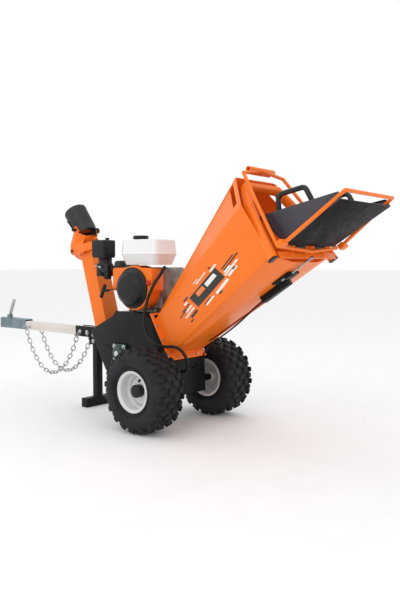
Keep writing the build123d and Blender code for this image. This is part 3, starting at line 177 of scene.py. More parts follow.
black_rubber = finish("smooth black rubber", (0.008, 0.008, 0.008), (0.013, 0.013, 0.013), 0.40, grain=900,
                      bump=0.08, level=0.25)
foam_grip = finish("gloss grip rubber", (0.005, 0.005, 0.005), (0.008, 0.008, 0.008), 0.18, coat=0.25,
                   grain=300, bump=0.10, level=0.3)
black_plastic = finish("moulded black plastic", (0.009, 0.009, 0.0095), (0.013, 0.013, 0.014), 0.36,
                       grain=1600, bump=0.10, level=0.25)
charcoal_plastic = finish("charcoal deflector", (0.030, 0.031, 0.033), (0.040, 0.041, 0.044), 0.46,
                          grain=1300, bump=0.10, level=0.25)
cast_alloy = finish("sand cast alloy", (0.16, 0.15, 0.14), (0.30, 0.28, 0.26), 0.52, metal=0.8, cloud=22,
                    grain=350, bump=0.45, height=0.0005)
machined_alloy = finish("machined alloy", (0.55, 0.55, 0.55), (0.64, 0.64, 0.64), 0.30, metal=1.0,
                        grain=1500, bump=0.1, stretch=(1, 12, 1))
dark_iron = finish("dark casting", (0.035, 0.034, 0.033), (0.06, 0.056, 0.05), 0.55, metal=0.5, grain=350,
                   bump=0.35)
muffler_steel = finish("heat-proof black steel", (0.03, 0.028, 0.026), (0.05, 0.046, 0.042), 0.42,
                       metal=0.5, cloud=16, grain=500, bump=0.15)
red_plastic = finish("switch red plastic", (0.62, 0.02, 0.01), (0.55, 0.018, 0.01), 0.28, grain=1200,
                     bump=0.04)
label_black = finish("label black film", (0.012, 0.011, 0.013), (0.016, 0.015, 0.018), 0.26, grain=1500,
                     bump=0.02)
label_white = finish("label white film", (0.82, 0.78, 0.74), (0.80, 0.76, 0.72), 0.30, grain=1500, bump=0.02)
label_orange = finish("label orange film", (0.85, 0.22, 0.02), (0.80, 0.20, 0.02), 0.30, grain=1500,
                      bump=0.02)


# ---------------------------------------------------------------- making and dressing pieces
def shade(mesh, angle=35.0):
    """Smooth shading everywhere except across edges sharper than the angle."""
    mesh.polygons.foreach_set("use_smooth", [True] * len(mesh.polygons))
    mesh.set_sharp_from_angle(angle=math.radians(angle))
    mesh.update()


def place_piece(name, mesh, material, body, nodes=(), angle=35.0):
    """Puts a finished mesh in the scene as a piece that rides on a body and may stand for CAD nodes."""
    mesh.materials.clear()
    mesh.materials.append(material)
    shade(mesh, angle)
    piece = bpy.data.objects.new(name, mesh)
    bpy.context.scene.collection.objects.link(piece)
    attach(piece, body)
    if nodes:
        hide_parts(*nodes)
    return piece


def settle(piece):
    """The piece's evaluated mesh as plain data, with its modifiers gone."""
    graph = bpy.context.evaluated_depsgraph_get()
    mesh = bpy.data.meshes.new_from_object(piece.evaluated_get(graph), depsgraph=graph)
    bpy.data.objects.remove(piece)
    return mesh


def bevelled(mesh, width, segments=2, angle=30.0, wall=0.0):
    """A mesh given an optional wall thickness and rounded edges, width and wall in millimetres."""
    helper = bpy.data.objects.new("helper", mesh)
    bpy.context.scene.collection.objects.link(helper)
    if wall:
        solid = helper.modifiers.new("wall", "SOLIDIFY")
        solid.thickness = abs(wall) / 1000
        solid.offset = -1.0 if wall > 0 else 1.0
        solid.use_even_offset = True
    if width:
        edge = helper.modifiers.new("edge", "BEVEL")
        edge.width = width / 1000
        edge.segments = segments
        edge.limit_method = "ANGLE"
        edge.angle_limit = math.radians(angle)
        edge.use_clamp_overlap = False
        edge.harden_normals = False
    return settle(helper)


def outward(mesh):
    """A closed mesh with its doubles merged and its faces made to point outwards."""
    bm = bmesh.new()
    bm.from_mesh(mesh)
    bmesh.ops.remove_doubles(bm, verts=bm.verts, dist=1e-6)
    bmesh.ops.recalc_face_normals(bm, faces=bm.faces)
    bm.to_mesh(mesh)
    bm.free()
    return mesh


def cut(mesh, *cutters):
    """A mesh with other closed meshes taken away from it."""
    outward(mesh)
    helper = bpy.data.objects.new("helper", mesh)
    bpy.context.scene.collection.objects.link(helper)
    tools = []
    for cutter in cutters:
        tool = bpy.data.objects.new("tool", cutter)
        bpy.context.scene.collection.objects.link(tool)
        tools.append(tool)
        take = helper.modifiers.new("take", "BOOLEAN")
        take.operation = "DIFFERENCE"
        take.solver = "EXACT"
        take.use_self = True
        take.use_hole_tolerant = True
        take.object = tool
    result = settle(helper)
    for tool in tools:
        bpy.data.objects.remove(tool)
    return result


def clean(bm, name):
    bmesh.ops.remove_doubles(bm, verts=bm.verts, dist=1e-6)
    bmesh.ops.recalc_face_normals(bm, faces=bm.faces)
    mesh = bpy.data.meshes.new(name)
    bm.to_mesh(mesh)
    bm.free()
    return mesh


def shape(points, faces, name="shape"):
    """A mesh from points in millimetres and faces, with its normals made to point outwards."""
    bm = bmesh.new()
    verts = [bm.verts.new(at(*p)) for p in points]
    for face in faces:
        bm.faces.new([verts[i] for i in face])
    return clean(bm, name)


def joined(*meshes):
    """Several meshes as one."""
    bm = bmesh.new()
    for mesh in meshes:
        bm.from_mesh(mesh)
    result = bpy.data.meshes.new("joined")
    bm.to_mesh(result)
    bm.free()
    return result


def prism(outline, y0, y1):
    """A side-view outline of x and z given a width from y0 to y1."""
    n = len(outline)
    points = [(x, y0, z) for x, z in outline] + [(x, y1, z) for x, z in outline]
    faces = [tuple(range(n)), tuple(range(2 * n - 1, n - 1, -1))]
    faces += [(i, (i + 1) % n, n + (i + 1) % n, n + i) for i in range(n)]
    return shape(points, faces)


def block(x0, x1, y0, y1, z0, z1):
    return prism([(x0, z0), (x1, z0), (x1, z1), (x0, z1)], y0, y1)


def placed_block(origin, across, up, out, size, middle=(0, 0, 0)):
    """A box of the given size about a frame whose three directions are given."""
    points = []
    for k in (-1, 1):
        for i, j in ((-1, -1), (1, -1), (1, 1), (-1, 1)):
            local = [middle[0] + i * size[0] / 2, middle[1] + j * size[1] / 2, middle[2] + k * size[2] / 2]
            points.append(Vector(origin) + across * local[0] + up * local[1] + out * local[2])
    faces = [(0, 1, 2, 3), (7, 6, 5, 4)] + [(i, (i + 1) % 4, 4 + (i + 1) % 4, 4 + i) for i in range(4)]
    return shape(points, faces)


def frame_of(axis):
    """Two directions square to an axis."""
    axis = Vector(axis).normalized()
    side = axis.cross(Vector((0, 0, 1)))
    if side.length < 0.1:
        side = Vector((1, 0, 0))
    side.normalize()
    return side, axis.cross(side).normalized(), axis


def lathe(profile, centre, axis=(0, 1, 0), turns=64, closed=True):
    """A turned mesh: profile points are (along the axis, radius) in millimetres."""
    side, up, axis = frame_of(axis)
    bm = bmesh.new()
    rings = []
    for along, radius in profile:
        middle = Vector(centre) + axis * along
        if radius < 0.01:
            rings.append([bm.verts.new(at(*middle))])
            continue
        ring = []
        for i in range(turns):
            a = 2 * math.pi * i / turns
            ring.append(bm.verts.new(at(*(middle + (side * math.cos(a) + up * math.sin(a)) * radius))))
        rings.append(ring)
    pairs = list(zip(rings, rings[1:])) + ([(rings[-1], rings[0])] if closed else [])
    for first, second in pairs:
        for i in range(turns):
            j = (i + 1) % turns
            corners = [first[i % len(first)], first[j % len(first)], second[j % len(second)],
                       second[i % len(second)]]
            corners = [v for n, v in enumerate(corners) if v not in corners[:n]]
            if len(corners) > 2:
                bm.faces.new(corners)
    return clean(bm, "turned")


def rounded_path(points, radii, steps=8):
    """Points along runs that turn close to the centre of each corner's arc, in millimetres.

    Vector.slerp gives directions of length 1, so the arc has a radius of 1 mm about its centre.
    """
    points = [Vector(p) for p in points]
    if not isinstance(radii, (list, tuple)):
        radii = [radii] * (len(points) - 2)
    path = [points[0]]
    for i, radius in enumerate(radii, start=1):
        back = (points[i - 1] - points[i]).normalized()
        onward = (points[i + 1] - points[i]).normalized()
        turn = math.pi - back.angle(onward)
        if turn < 1e-3:
            continue
        reach = radius * math.tan(turn / 2)
        inward = (back + onward).normalized()
        centre = points[i] + inward * (radius / math.cos(turn / 2))
        start = points[i] + back * reach - centre
        end = points[i] + onward * reach - centre
        for k in range(steps + 1):
            path.append(centre + start.slerp(end, k / steps))
    path.append(points[-1])
    return path


def swept(path, section, normal=None, close=False):
    """A section of (across, up) points carried along a path; up stays near the normal."""
    bm = bmesh.new()
    rings = []
    count = len(path)
    up = Vector(normal) if normal else None
    for i, p in enumerate(path):
        before = path[(i - 1) % count] if close or i else path[0]
        after = path[(i + 1) % count] if close or i < count - 1 else path[-1]
        way = (after - before).normalized()
        if up is None:
            up = frame_of(way)[0]
        up = (up - way * up.dot(way)).normalized()
        across = way.cross(up)
        bend = 1.0
        if (0 < i < count - 1) or close:
            half = (p - before).angle(after - p) / 2 if (p - before).length and (after - p).length else 0
            bend = 1 / max(math.cos(half), 0.6)
        rings.append([bm.verts.new(at(*(p + across * a * bend + up * b))) for a, b in section])
    n = len(section)
    pairs = list(zip(rings, rings[1:])) + ([(rings[-1], rings[0])] if close else [])
    for first, second in pairs:
        for i in range(n):
            bm.faces.new((first[i], first[(i + 1) % n], second[(i + 1) % n], second[i]))
    if not close:
        bm.faces.new(rings[0])
        bm.faces.new(rings[-1])
    return clean(bm, "swept")


def circle(radius, sides=16, flat=1.0):
    return [(radius * math.cos(2 * math.pi * i / sides), radius * flat * math.sin(2 * math.pi * i / sides))
            for i in range(sides)]


def bar(points, radii, radius, sides=16, steps=8):
    """A bent round bar."""
    return swept(rounded_path(points, radii, steps), circle(radius, sides))


def cad_copy(node, merge=0.01):
    """A clean copy of a CAD node's surface, with flat areas joined into single faces."""
    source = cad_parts[node].data
    bm = bmesh.new()
    verts = [bm.verts.new(v.co) for v in source.vertices]
    for polygon in source.polygons:
        try:
            bm.faces.new([verts[i] for i in polygon.vertices])
        except ValueError:
            continue
    bmesh.ops.remove_doubles(bm, verts=bm.verts, dist=merge / 1000)
    bmesh.ops.dissolve_limit(bm, angle_limit=math.radians(0.6), verts=bm.verts, edges=bm.edges)
    mesh = bpy.data.meshes.new(node + " copy")
    bm.to_mesh(mesh)
    bm.free()
    return mesh


def dress(node, material, body="chassis", width=0.8, segments=2, angle=30.0, name=None):
    """A CAD node's own shape with rounded edges, as the piece that is shown for it."""
    mesh = bevelled(cad_copy(node), width, segments, angle)
    return place_piece(name or node + "_skin", mesh, material, body, [node])


# ---------------------------------------------------------------- repeated copies, by Geometry Nodes
def copies_tree():
    """Copies of one object on a mesh's points, turned by each point's own turn."""
    tree = bpy.data.node_groups.new("set out copies", "GeometryNodeTree")
    face = tree.interface
    face.new_socket("Points", in_out="INPUT", socket_type="NodeSocketGeometry")
    face.new_socket("Copy", in_out="INPUT", socket_type="NodeSocketObject")
    face.new_socket("Size", in_out="INPUT", socket_type="NodeSocketFloat").default_value = 1.0
    face.new_socket("Finish", in_out="INPUT", socket_type="NodeSocketMaterial")
    face.new_socket("Geometry", in_out="OUTPUT", socket_type="NodeSocketGeometry")
    start = tree.nodes.new("NodeGroupInput")
    end = tree.nodes.new("NodeGroupOutput")
    info = tree.nodes.new("GeometryNodeObjectInfo")
    turn = tree.nodes.new("GeometryNodeInputNamedAttribute")
    turn.data_type = "FLOAT_VECTOR"
    turn.inputs["Name"].default_value = "turn"
    spin = tree.nodes.new("FunctionNodeEulerToRotation")
    copies = tree.nodes.new("GeometryNodeInstanceOnPoints")
    real = tree.nodes.new("GeometryNodeRealizeInstances")
    paint = tree.nodes.new("GeometryNodeSetMaterial")
    link = tree.links.new
    link(start.outputs["Points"], copies.inputs["Points"])
    link(start.outputs["Copy"], info.inputs["Object"])
    link(info.outputs["Geometry"], copies.inputs["Instance"])
    link(turn.outputs["Attribute"], spin.inputs["Euler"])
    link(spin.outputs["Rotation"], copies.inputs["Rotation"])
    link(start.outputs["Size"], copies.inputs["Scale"])
    link(copies.outputs["Instances"], real.inputs["Geometry"])
    link(real.outputs["Geometry"], paint.inputs["Geometry"])
    link(start.outputs["Finish"], paint.inputs["Material"])
    link(paint.outputs["Geometry"], end.inputs["Geometry"])
    return tree


COPIES = copies_tree()
INPUTS = {item.name: item.identifier for item in COPIES.interface.items_tree if item.in_out == "INPUT"}


def set_out(name, copy, places, material, body, nodes=(), size=1.0, angle=35.0):
    """One piece made of copies of a mesh; places are (point in mm, Euler turn)."""
    pattern = bpy.data.objects.new("pattern", copy)
    bpy.context.scene.collection.objects.link(pattern)
    points = bpy.data.meshes.new("places")
    points.from_pydata([at(*p) for p, _ in places], [], [])
    turns = points.attributes.new("turn", "FLOAT_VECTOR", "POINT")
    turns.data.foreach_set("vector", [c for _, e in places for c in e])
    host = bpy.data.objects.new("host", points)
    maker = host.modifiers.new("copies", "NODES")
    maker.node_group = COPIES
    maker[INPUTS["Copy"]] = pattern
    maker[INPUTS["Size"]] = size
    maker[INPUTS["Finish"]] = material
    bpy.context.scene.collection.objects.link(host)
    mesh = settle(host)
    for attribute in [a.name for a in mesh.attributes if a.name == "turn"]:
        mesh.attributes.remove(mesh.attributes[attribute])
    bpy.data.objects.remove(pattern)
    return place_piece(name, mesh, material, body, nodes, angle)


def at_origin(mesh):
    """A mesh made about the axle's centre, moved so that its copies turn about their own point."""
    mesh.transform(Matrix.Translation(-at(0, 0, 0)))
    return mesh


def turn_to(axis, roll=0.0):
    """The Euler turn that points a copy's +Z along an axis."""
    way = Vector(axis).normalized().to_track_quat("Z", "Y")
    return (way @ Euler((0, 0, roll)).to_quaternion()).to_euler()


def bolt_head(size, height, washer=True, dome=False):
    """A hexagon bolt head or carriage bolt dome standing on +Z, with its washer."""
    parts = []
    if washer:
        parts.append(lathe([(0, 0), (0, size * 1.45), (1.2, size * 1.45), (1.6, size * 1.35), (1.6, 0)],
                           (0, 0, 0), (0, 0, 1), 24))
    if dome:
        profile = [(1.5, 0), (1.5, size * 1.1), (height * 0.5, size), (height * 0.85, size * 0.6),
                   (height, 0)]
        parts.append(lathe(profile, (0, 0, 0), (0, 0, 1), 24))
    else:
        head = lathe([(1.5, 0), (1.5, size), (height - 1.0, size), (height, size * 0.86), (height, 0)],
                     (0, 0, 0), (0, 0, 1), 6)
        parts.append(head)
    return at_origin(joined(*parts))


# ---------------------------------------------------------------- wheels
def eased(points, steps=5):
    """A smooth line of points through the given ones."""
    line = []
    ends = [points[0]] + list(points) + [points[-1]]
    for a, b, c, d in zip(ends, ends[1:], ends[2:], ends[3:]):
        for k in range(steps):
            t = k / steps
            line.append(tuple(0.5 * (2 * q + (r - p) * t + (2 * p - 5 * q + 4 * r - s) * t * t
                                     + (3 * q - p - 3 * r + s) * t ** 3) for p, q, r, s in zip(a, b, c, d)))
    line.append(tuple(points[-1]))
    return line


def tread_block(y0, y1, half, foot_radius, top_radius, skew=0.0, taper=0.82):
    """One block of the tread, standing on the carcass at the top of the wheel."""
    points = []
    for radius, share in ((foot_radius, 1.0), (top_radius, taper)):
        mid = (y0 + y1) / 2
        reach = (y1 - y0) / 2 * share
        for sy, sx in ((-1, -1), (1, -1), (1, 1), (-1, 1)):
            points.append((sx * half * share + skew * sy * reach, mid + sy * reach, radius))
    faces = [(0, 1, 2, 3), (7, 6, 5, 4)] + [(i, (i + 1) % 4, 4 + (i + 1) % 4, 4 + i) for i in range(4)]
    return bevelled(at_origin(shape(points, faces)), 3.2, 2)


def shoulder_lug(line, half):
    """A lug that wraps over the shoulder: line is (y, foot radius, top radius) from tread to wall."""
    points = []
    for n, (y, foot, top) in enumerate(line):
        lean = half * (1.0 - 0.10 * n)
        top_y = y + (top - foot) * 0.35 * (n / len(line))
        points += [(-lean, y, foot), (lean, y, foot), (lean * 0.78, top_y, top), (-lean * 0.78, top_y, top)]
    faces = [(0, 1, 2, 3), tuple(len(points) - 4 + i for i in range(4))]
    for n in range(len(line) - 1):
        faces += [(4 * n + i, 4 * n + (i + 1) % 4, 4 * n + 4 + (i + 1) % 4, 4 * n + 4 + i) for i in range(4)]
    return bevelled(at_origin(shape(points, faces)), 2.6, 2)


CARCASS = [(66, 97), (70, 101), (79, 110), (86.5, 128), (88.5, 146), (86, 163), (78, 178), (62, 187.5),
           (34, 192), (0, 193.5)]


def tyre_pieces(side, word):
    body = "wheel_" + word
    middle = (0, side * TRACK_HALF, 0)
    half = eased(CARCASS)
    profile = half + [(-t, r) for t, r in reversed(half[:-1])]
    wall_ribs = [(82.5, 113), (85.5, 121)]
    parts = [lathe(profile, middle, (0, 1, 0), 96)]
    for s in (-1, 1):
        for t, r in wall_ribs:
            parts.append(lathe([(s * t, r - 1.5), (s * (t + 2.0), r), (s * t, r + 1.5)], middle, (0, 1, 0),
                               96))
    place_piece(f"tyre_{word}_carcass", joined(*parts), tyre_rubber, body, [f"tyre_{word}"],
                50)
    step = 2 * math.pi / LUGS
    rows = []
    for s in (-1, 1):
        shift = 0.0 if s > 0 else 0.5
        rows.append((tread_block(s * 17 - 15, s * 17 + 15, 15.5, 188, 204.4, 0.22 * s), shift))
        rows.append((tread_block(s * 50 - 13, s * 50 + 13, 14.5, 184, 203.0, -0.2 * s), shift + 0.5))
        line = [(s * 66, 182, 200.5), (s * 78, 174, 195), (s * 86, 158, 181), (s * 86.5, 146, 160)]
        rows.append((shoulder_lug(line, 15.5), shift + 0.02))
    for n, (block_mesh, phase) in enumerate(rows, start=1):
        places = [(middle, (0, (i + phase) * step, 0)) for i in range(LUGS)]
        set_out(f"tyre_{word}_tread_{n}", block_mesh, places, tyre_rubber, body, angle=40)


def rim_pieces(side, word):
    body = "wheel_" + word
    y = side * TRACK_HALF
    outside = [(-77, 100), (-74, 100.5), (-72, 92), (-66, 88.3), (-25, 88.3), (-15, 76), (15, 76), (25, 88.3),
               (66, 88.3), (72, 92), (74, 100.5), (77, 100)]
    inside = [(77.5, 97), (75.5, 96), (74.5, 89.5), (68, 84.8), (27, 84.8), (17, 72.5), (-17, 72.5),
              (-27, 84.8), (-68, 84.8), (-74.5, 89.5), (-75.5, 96), (-77.5, 97)]
    barrel = lathe(outside + inside, (0, y, 0), (0, 1, 0), 96)
    dish = [(10, 73), (15, 70.5), (19.5, 64), (21, 56), (21, 34), (24, 29), (28, 26.5), (28, 13.2),
            (-45, 13.2), (-45, 26), (12, 26), (17, 34), (17, 55), (15, 62), (11, 67), (7, 73)]
    disc = lathe([(side * t, r) for t, r in dish], (0, y, 0), (0, 1, 0), 96)
    bolt = lathe([(side * 20, 0), (side * 20, 7), (side * 24, 6.2), (side * 24.5, 0)], (38, y, -32),
                 (0, 1, 0), 24)
    bead = lathe([(side * 20.5, 9), (side * 22.5, 10), (side * 20.5, 11.5)], (38, y, -32), (0, 1, 0), 24)
    piece = joined(barrel, disc, bolt, bead)
    place_piece(f"rim_{word}_pressing", piece, rim_white, body, [f"rim_{word}"], 28)
    lean = math.radians(28)
    foot = Vector((math.sin(lean) * 84, y + side * 36, math.cos(lean) * 84))
    way = Vector((-math.sin(lean) * 0.62, side * 0.55, -math.cos(lean) * 0.62)).normalized()
    stem = [(-2, 0), (-2, 9), (3, 8.5), (6, 6), (24, 4.6), (25, 5.8), (34, 5.8), (36, 4.5), (36, 0)]
    place_piece(f"valve_{word}", lathe(stem, foot, way, 20), black_rubber, body, angle=40)


for wheel_side, wheel_word in ((-1, "near"), (1, "far")):
    tyre_pieces(wheel_side, wheel_word)
    rim_pieces(wheel_side, wheel_word)
    dress("hub_cap_" + wheel_word, black_plastic, "wheel_" + wheel_word, 2.0, 3)
dress("axle_beam", black_satin, width=0.8)


# ---------------------------------------------------------------- chassis
for node in ("side_plate_near", "side_plate_far"):
    dress(node, black_satin, width=1.2)
for node in ("chassis_panels", "rotor_housing", "drawbar_bracket"):
    dress(node, black_satin, width=0.8)
dress("belt_guard", black_satin, width=2.5, segments=3)
dress("bed_knife", zinc_bright, width=0.3)
dress("rotor_shaft", machined_alloy, "rotor", 0.8)
dress("rotor_drum", black_satin, "rotor", 1.0)
dress("rotor_knives", zinc_bright, "rotor", 0.3)
dress("rotor_bearings", bearing_green, width=2.0, segments=3)
dress("driven_pulley", dark_iron, "rotor", 0.6)
dress("drive_pulley", dark_iron, "crank", 0.6)
dress("drive_belts", black_rubber, width=0.8)
dress("drawbar", cream_paint, width=3.5, segments=3)
dress("coupler_body", zinc_blue, width=0.8)
dress("coupler_latch", zinc_bright, "latch", 1.2, 3)
dress("stand_leg", black_satin, "leg", 2.2, 3)


# ---------------------------------------------------------------- safety chains
CHAIN_START = (-1263.0, 217.0)
CHAIN_END = (-749.0, 208.0)
LINKS = 26
PITCH = 30.0
WIRE = 3.0


def hanging_places():
    """Middle and slope of each link on the line that the chain hangs in."""
    span = CHAIN_END[0] - CHAIN_START[0]
    rise = CHAIN_END[1] - CHAIN_START[1]
    length = LINKS * PITCH
    target = math.sqrt(length ** 2 - rise ** 2) / span
    u = 1.0
    for _ in range(60):
        u = u - (math.sinh(u) / u - target) / ((u * math.cosh(u) - math.sinh(u)) / u ** 2)
    a = span / (2 * u)
    low_x = (CHAIN_START[0] + CHAIN_END[0]) / 2 - a * math.atanh(rise / length)
    base = CHAIN_START[1] - a * math.cosh((CHAIN_START[0] - low_x) / a)
    begin = a * math.sinh((CHAIN_START[0] - low_x) / a)
    places = []
    for i in range(LINKS):
        s = begin + PITCH * (i + 0.5)
        x = low_x + a * math.asinh(s / a)
        places.append((x, base + a * math.cosh((x - low_x) / a), math.atan(s / a)))
    return places


def link_mesh():
    """One welded link lying along X."""
    wide = WIRE * 2 * 1.72
    straight = PITCH / 2 + WIRE - wide
    path = []
    for centre, first in ((straight, -90), (-straight, 90)):
        for k in range(9):
            a = math.radians(first + k * 180 / 8)
            path.append(Vector((centre + wide * math.cos(a), wide * math.sin(a), 0)))
    return at_origin(swept(path, circle(WIRE, 10), normal=(0, 0, 1), close=True))


chain_spots = []
for chain_side in (-54.0, 54.0):
    for i, (x, z, slope) in enumerate(hanging_places()):
        turn = Matrix.Rotation(-slope, 3, "Y") @ Matrix.Rotation(math.radians(45 if i % 2 else -45), 3, "X")
        chain_spots.append(((x, chain_side, z), tuple(turn.to_euler())))
set_out("safety_chain_links", link_mesh(), chain_spots, zinc_bright, "chassis", ["safety_chains"],
        angle=60)


# ---------------------------------------------------------------- fasteners
def tilted(foot, tilt, across, up, out=0.0):
    """A point given across, up and out of a plane that leans back from the vertical."""
    t = math.radians(tilt)
    return (foot[0] - up * math.sin(t) + out * math.cos(t), across,
            foot[1] + up * math.cos(t) + out * math.sin(t))


def flange_spot(across, up, out=0.0):
    return tilted(THROAT_FOOT, THROAT_TILT, across, up, out)


THROAT_FOOT, THROAT_TILT = (53.0, 130.0), 30.5
MOUTH_FOOT, MOUTH_TILT = (757.0, 656.0), 36.1
t = math.radians(THROAT_TILT)
flange_way = (math.cos(t), 0, math.sin(t))
near_way, far_way = (0, -1, 0), (0, 1, 0)

plate_spots = []
for dx in (-35, 35):
    for dz in (-35, 35):
        for s, way in ((-1, near_way), (1, far_way)):
            plate_spots.append(((-308 + dx, s * 142, 135 + dz), tuple(turn_to(way, 0.3))))
for s, way in ((-1, near_way), (1, far_way)):
    plate_spots += [((-644, s * 31, 198), tuple(turn_to(way, 0.5))),
                    ((-644, s * 31, 163), tuple(turn_to(way, 0.1)))]
for x, y in [(-192 + dx, y) for dx in (-96, 66) for y in (-50, 70)]:
    plate_spots.append(((x, y, 364), tuple(turn_to((0, 0, 1), 0.2))))
flange_spots = []
for s in (-1, 1):
    flange_spots += [(flange_spot(s * 131, up), tuple(turn_to(flange_way, 0.4))) for up in (30, 110, 190)]
flange_spots += [(flange_spot(s * 72, 13), tuple(turn_to(flange_way, 0.1))) for s in (-1, 1)]
set_out("frame_bolt_heads", bolt_head(8.4, 7.0), plate_spots, zinc_bright, "chassis", ["frame_bolts"])
set_out("flange_bolt_heads", bolt_head(7.0, 5.5, washer=False), flange_spots, zinc_bright, "chassis")
bracket_spots = [((x, s * 31, 207), tuple(turn_to((0, s, 0)))) for x in (-761, -699) for s in (-1, 1)]
set_out("bracket_bolt_heads", bolt_head(10.5, 9.0, dome=True), bracket_spots, zinc_bright, "chassis")
pins = []
for x, z, half in ((-1257.5, 204.5, 25), (-754.6, 194.5, 31)):
    for s in (-1, 1):
        pins.append(lathe([(0, 0), (0, 4), (68 - half, 4), (68 - half, 7.2), (73 - half, 7.0),
                           (73 - half, 0)],
                          (x, s * half, z), (0, s, 0), 20))
place_piece("chain_pins", joined(*pins), zinc_bright, "chassis")


# ---------------------------------------------------------------- discharge chute
CHUTE_LEAN = math.radians(16.66)
ELBOW_LEAN = math.radians(38.0)
COLLAR = (-683.0, 697.0)


def lean_way(lean):
    return Vector((-math.sin(lean), 0, math.cos(lean)))


def along_chute(distance):
    return Vector((COLLAR[0], 0, COLLAR[1])) + lean_way(CHUTE_LEAN) * distance


elbow_corner = along_chute(ELBOW_RISE)
elbow_pivot = elbow_corner + lean_way(ELBOW_LEAN) * ELBOW_REACH
dress("discharge_chute", orange_gloss, width=0)


def open_tube(path, radius, wall, sides=64):
    """A tube with open ends and a wall, its two skins joined by flat rims."""
    bm = bmesh.new()
    stations = []
    for i, p in enumerate(path):
        before, after = path[max(i - 1, 0)], path[min(i + 1, len(path) - 1)]
        stations.append((p, (after - before).normalized()))
    skins = [(p, way, radius) for p, way in stations]
    skins += [(p, way, radius - wall) for p, way in reversed(stations)]
    rings = []
    for p, way, size in skins:
        up = Vector((0, 1, 0))
        across = way.cross(up).normalized()
        rings.append([bm.verts.new(at(*(p + across * a + up * b))) for a, b in circle(size, sides)])
    for first, second in zip(rings, rings[1:] + rings[:1]):
        for i in range(sides):
            bm.faces.new((first[i], first[(i + 1) % sides], second[(i + 1) % sides], second[i]))
    return clean(bm, "tube")


def point_out(mesh):
    """Turns an open shell's faces away from its middle."""
    middle = sum((v.co for v in mesh.vertices), Vector()) / len(mesh.vertices)
    facing = sum((p.center - middle).dot(p.normal) * p.area for p in mesh.polygons)
    if facing < 0:
        mesh.flip_normals()


elbow_rim = elbow_corner + lean_way(ELBOW_LEAN) * (ELBOW_REACH - RIM_DROP)
elbow_path = rounded_path([along_chute(0), elbow_corner, elbow_rim], 90, 10)
elbow_tube = open_tube(elbow_path, ELBOW_RADIUS, 3)
collar_profile = [(-34, 76), (-34, 81.5), (-32.5, 83), (-15.5, 83), (-14, 82), (-12, 79), (8, 69.5),
                  (16, 68.3), (16, 65.6), (6, 66), (-14, 74), (-16, 76)]
collar = lathe(collar_profile, along_chute(0), lean_way(CHUTE_LEAN), 72)
ears = []
for s in (-1, 1):
    outline = []
    for k in range(13):
        a = math.pi * k / 12
        outline.append((18 * math.cos(a), 12 + 15 * math.sin(a)))
    outline += [(-18, -18), (18, -18)]
    across = Vector((math.cos(ELBOW_LEAN), 0, math.sin(ELBOW_LEAN)))
    up = lean_way(ELBOW_LEAN)
    inner = [elbow_pivot + across * a + up * (b - 6) + Vector((0, s * 65.3, 0)) for a, b in outline]
    outer = [p + Vector((0, s * 3.0, 0)) for p in inner]
    n = len(outline)
    faces = [tuple(range(n)), tuple(range(2 * n - 1, n - 1, -1))]
    faces += [(i, (i + 1) % n, n + (i + 1) % n, n + i) for i in range(n)]
    ears.append(shape(inner + outer, faces))
place_piece("chute_elbow_shell", joined(elbow_tube, collar, *ears), orange_gloss, "elbow",
            ["chute_elbow"], 40)
seat = [(140, 64), (140, 61), (138.5, 60), (0, 60), (-14, 58.3), (-25, 54.5), (-26, 58.4), (-14, 62.4),
        (0, 64),
        (2, 64), (3, 64.6), (128, 64.6), (130, 66), (138, 66), (140, 65)]
place_piece("deflector_shell", lathe(seat, elbow_pivot, lean_way(ELBOW_LEAN), 96), charcoal_plastic,
            "deflector", ["deflector_tube"], 40)
dress("deflector_lever", black_plastic, "deflector_clamp", 0.8)
dress("deflector_knob", black_plastic, "deflector_nut", 1.2)
dress("swivel_lever", black_plastic, "swivel_clamp", 0.8)


# ---------------------------------------------------------------- hopper
THROAT = [(-54, 32), (54, 32), (118, 34), (118, 229), (64, 253), (-64, 253), (-118, 229), (-118, 34)]
MOUTH = [(-100, -24), (100, -24), (246, 10), (241, 280), (155, 443), (-155, 443), (-241, 280), (-246, 10)]


def mouth_spot(across, up, out=0.0):
    return tilted(MOUTH_FOOT, MOUTH_TILT, across, up, out)


def hopper_sheet():
    """The folded shell with its two air slots."""
    first = [flange_spot(a, u) for a, u in THROAT]
    last = [mouth_spot(a, u, SHEET_OUT) for a, u in MOUTH]
    bm = bmesh.new()
    verts = [bm.verts.new(at(*p)) for p in first + last]
    for i in range(8):
        j = (i + 1) % 8
        bm.faces.new((verts[i], verts[j], verts[8 + j], verts[8 + i]))
    mesh = bpy.data.meshes.new("hopper sheet")
    bm.to_mesh(mesh)
    bm.free()
    point_out(mesh)
    mesh = bevelled(mesh, 5.0, 3, 12, wall=3.0)
    t = math.radians(MOUTH_TILT)
    up, out = Vector((-math.sin(t), 0, math.cos(t))), Vector((math.cos(t), 0, math.sin(t)))
    across = Vector((0, 1, 0))
    slots = [placed_block(mouth_spot(s * 246, 361, -88), across, up, out, (190, 112, 30)) for s in (-1, 1)]
    hoop_way = placed_block(mouth_spot(0, 210, 14), across, up, out, (900, 900, 122))
    return cut(mesh, *slots, hoop_way)


t = math.radians(THROAT_TILT)
flange_up = Vector((-math.sin(t), 0, math.cos(t)))
flange_out = Vector(flange_way)
flange_parts = []
for s in (-1, 1):
    flange_parts.append(bevelled(placed_block(flange_spot(s * 129, 131, -2.5), Vector((0, 1, 0)), flange_up,
                                              flange_out, (22, 262, 5)), 1.0))
flange_parts.append(bevelled(placed_block(flange_spot(0, 16, -2.5), Vector((0, 1, 0)), flange_up, flange_out,
                                          (240, 32, 5)), 1.0))
flange_parts.append(bevelled(placed_block(flange_spot(0, 257, -2.5), Vector((0, 1, 0)), flange_up, flange_out,
                                          (240, 10, 5)), 1.0))
place_piece("hopper_sheet_metal", joined(hopper_sheet(), *flange_parts), orange_gloss, "chassis",
            ["hopper_shell"], 28)

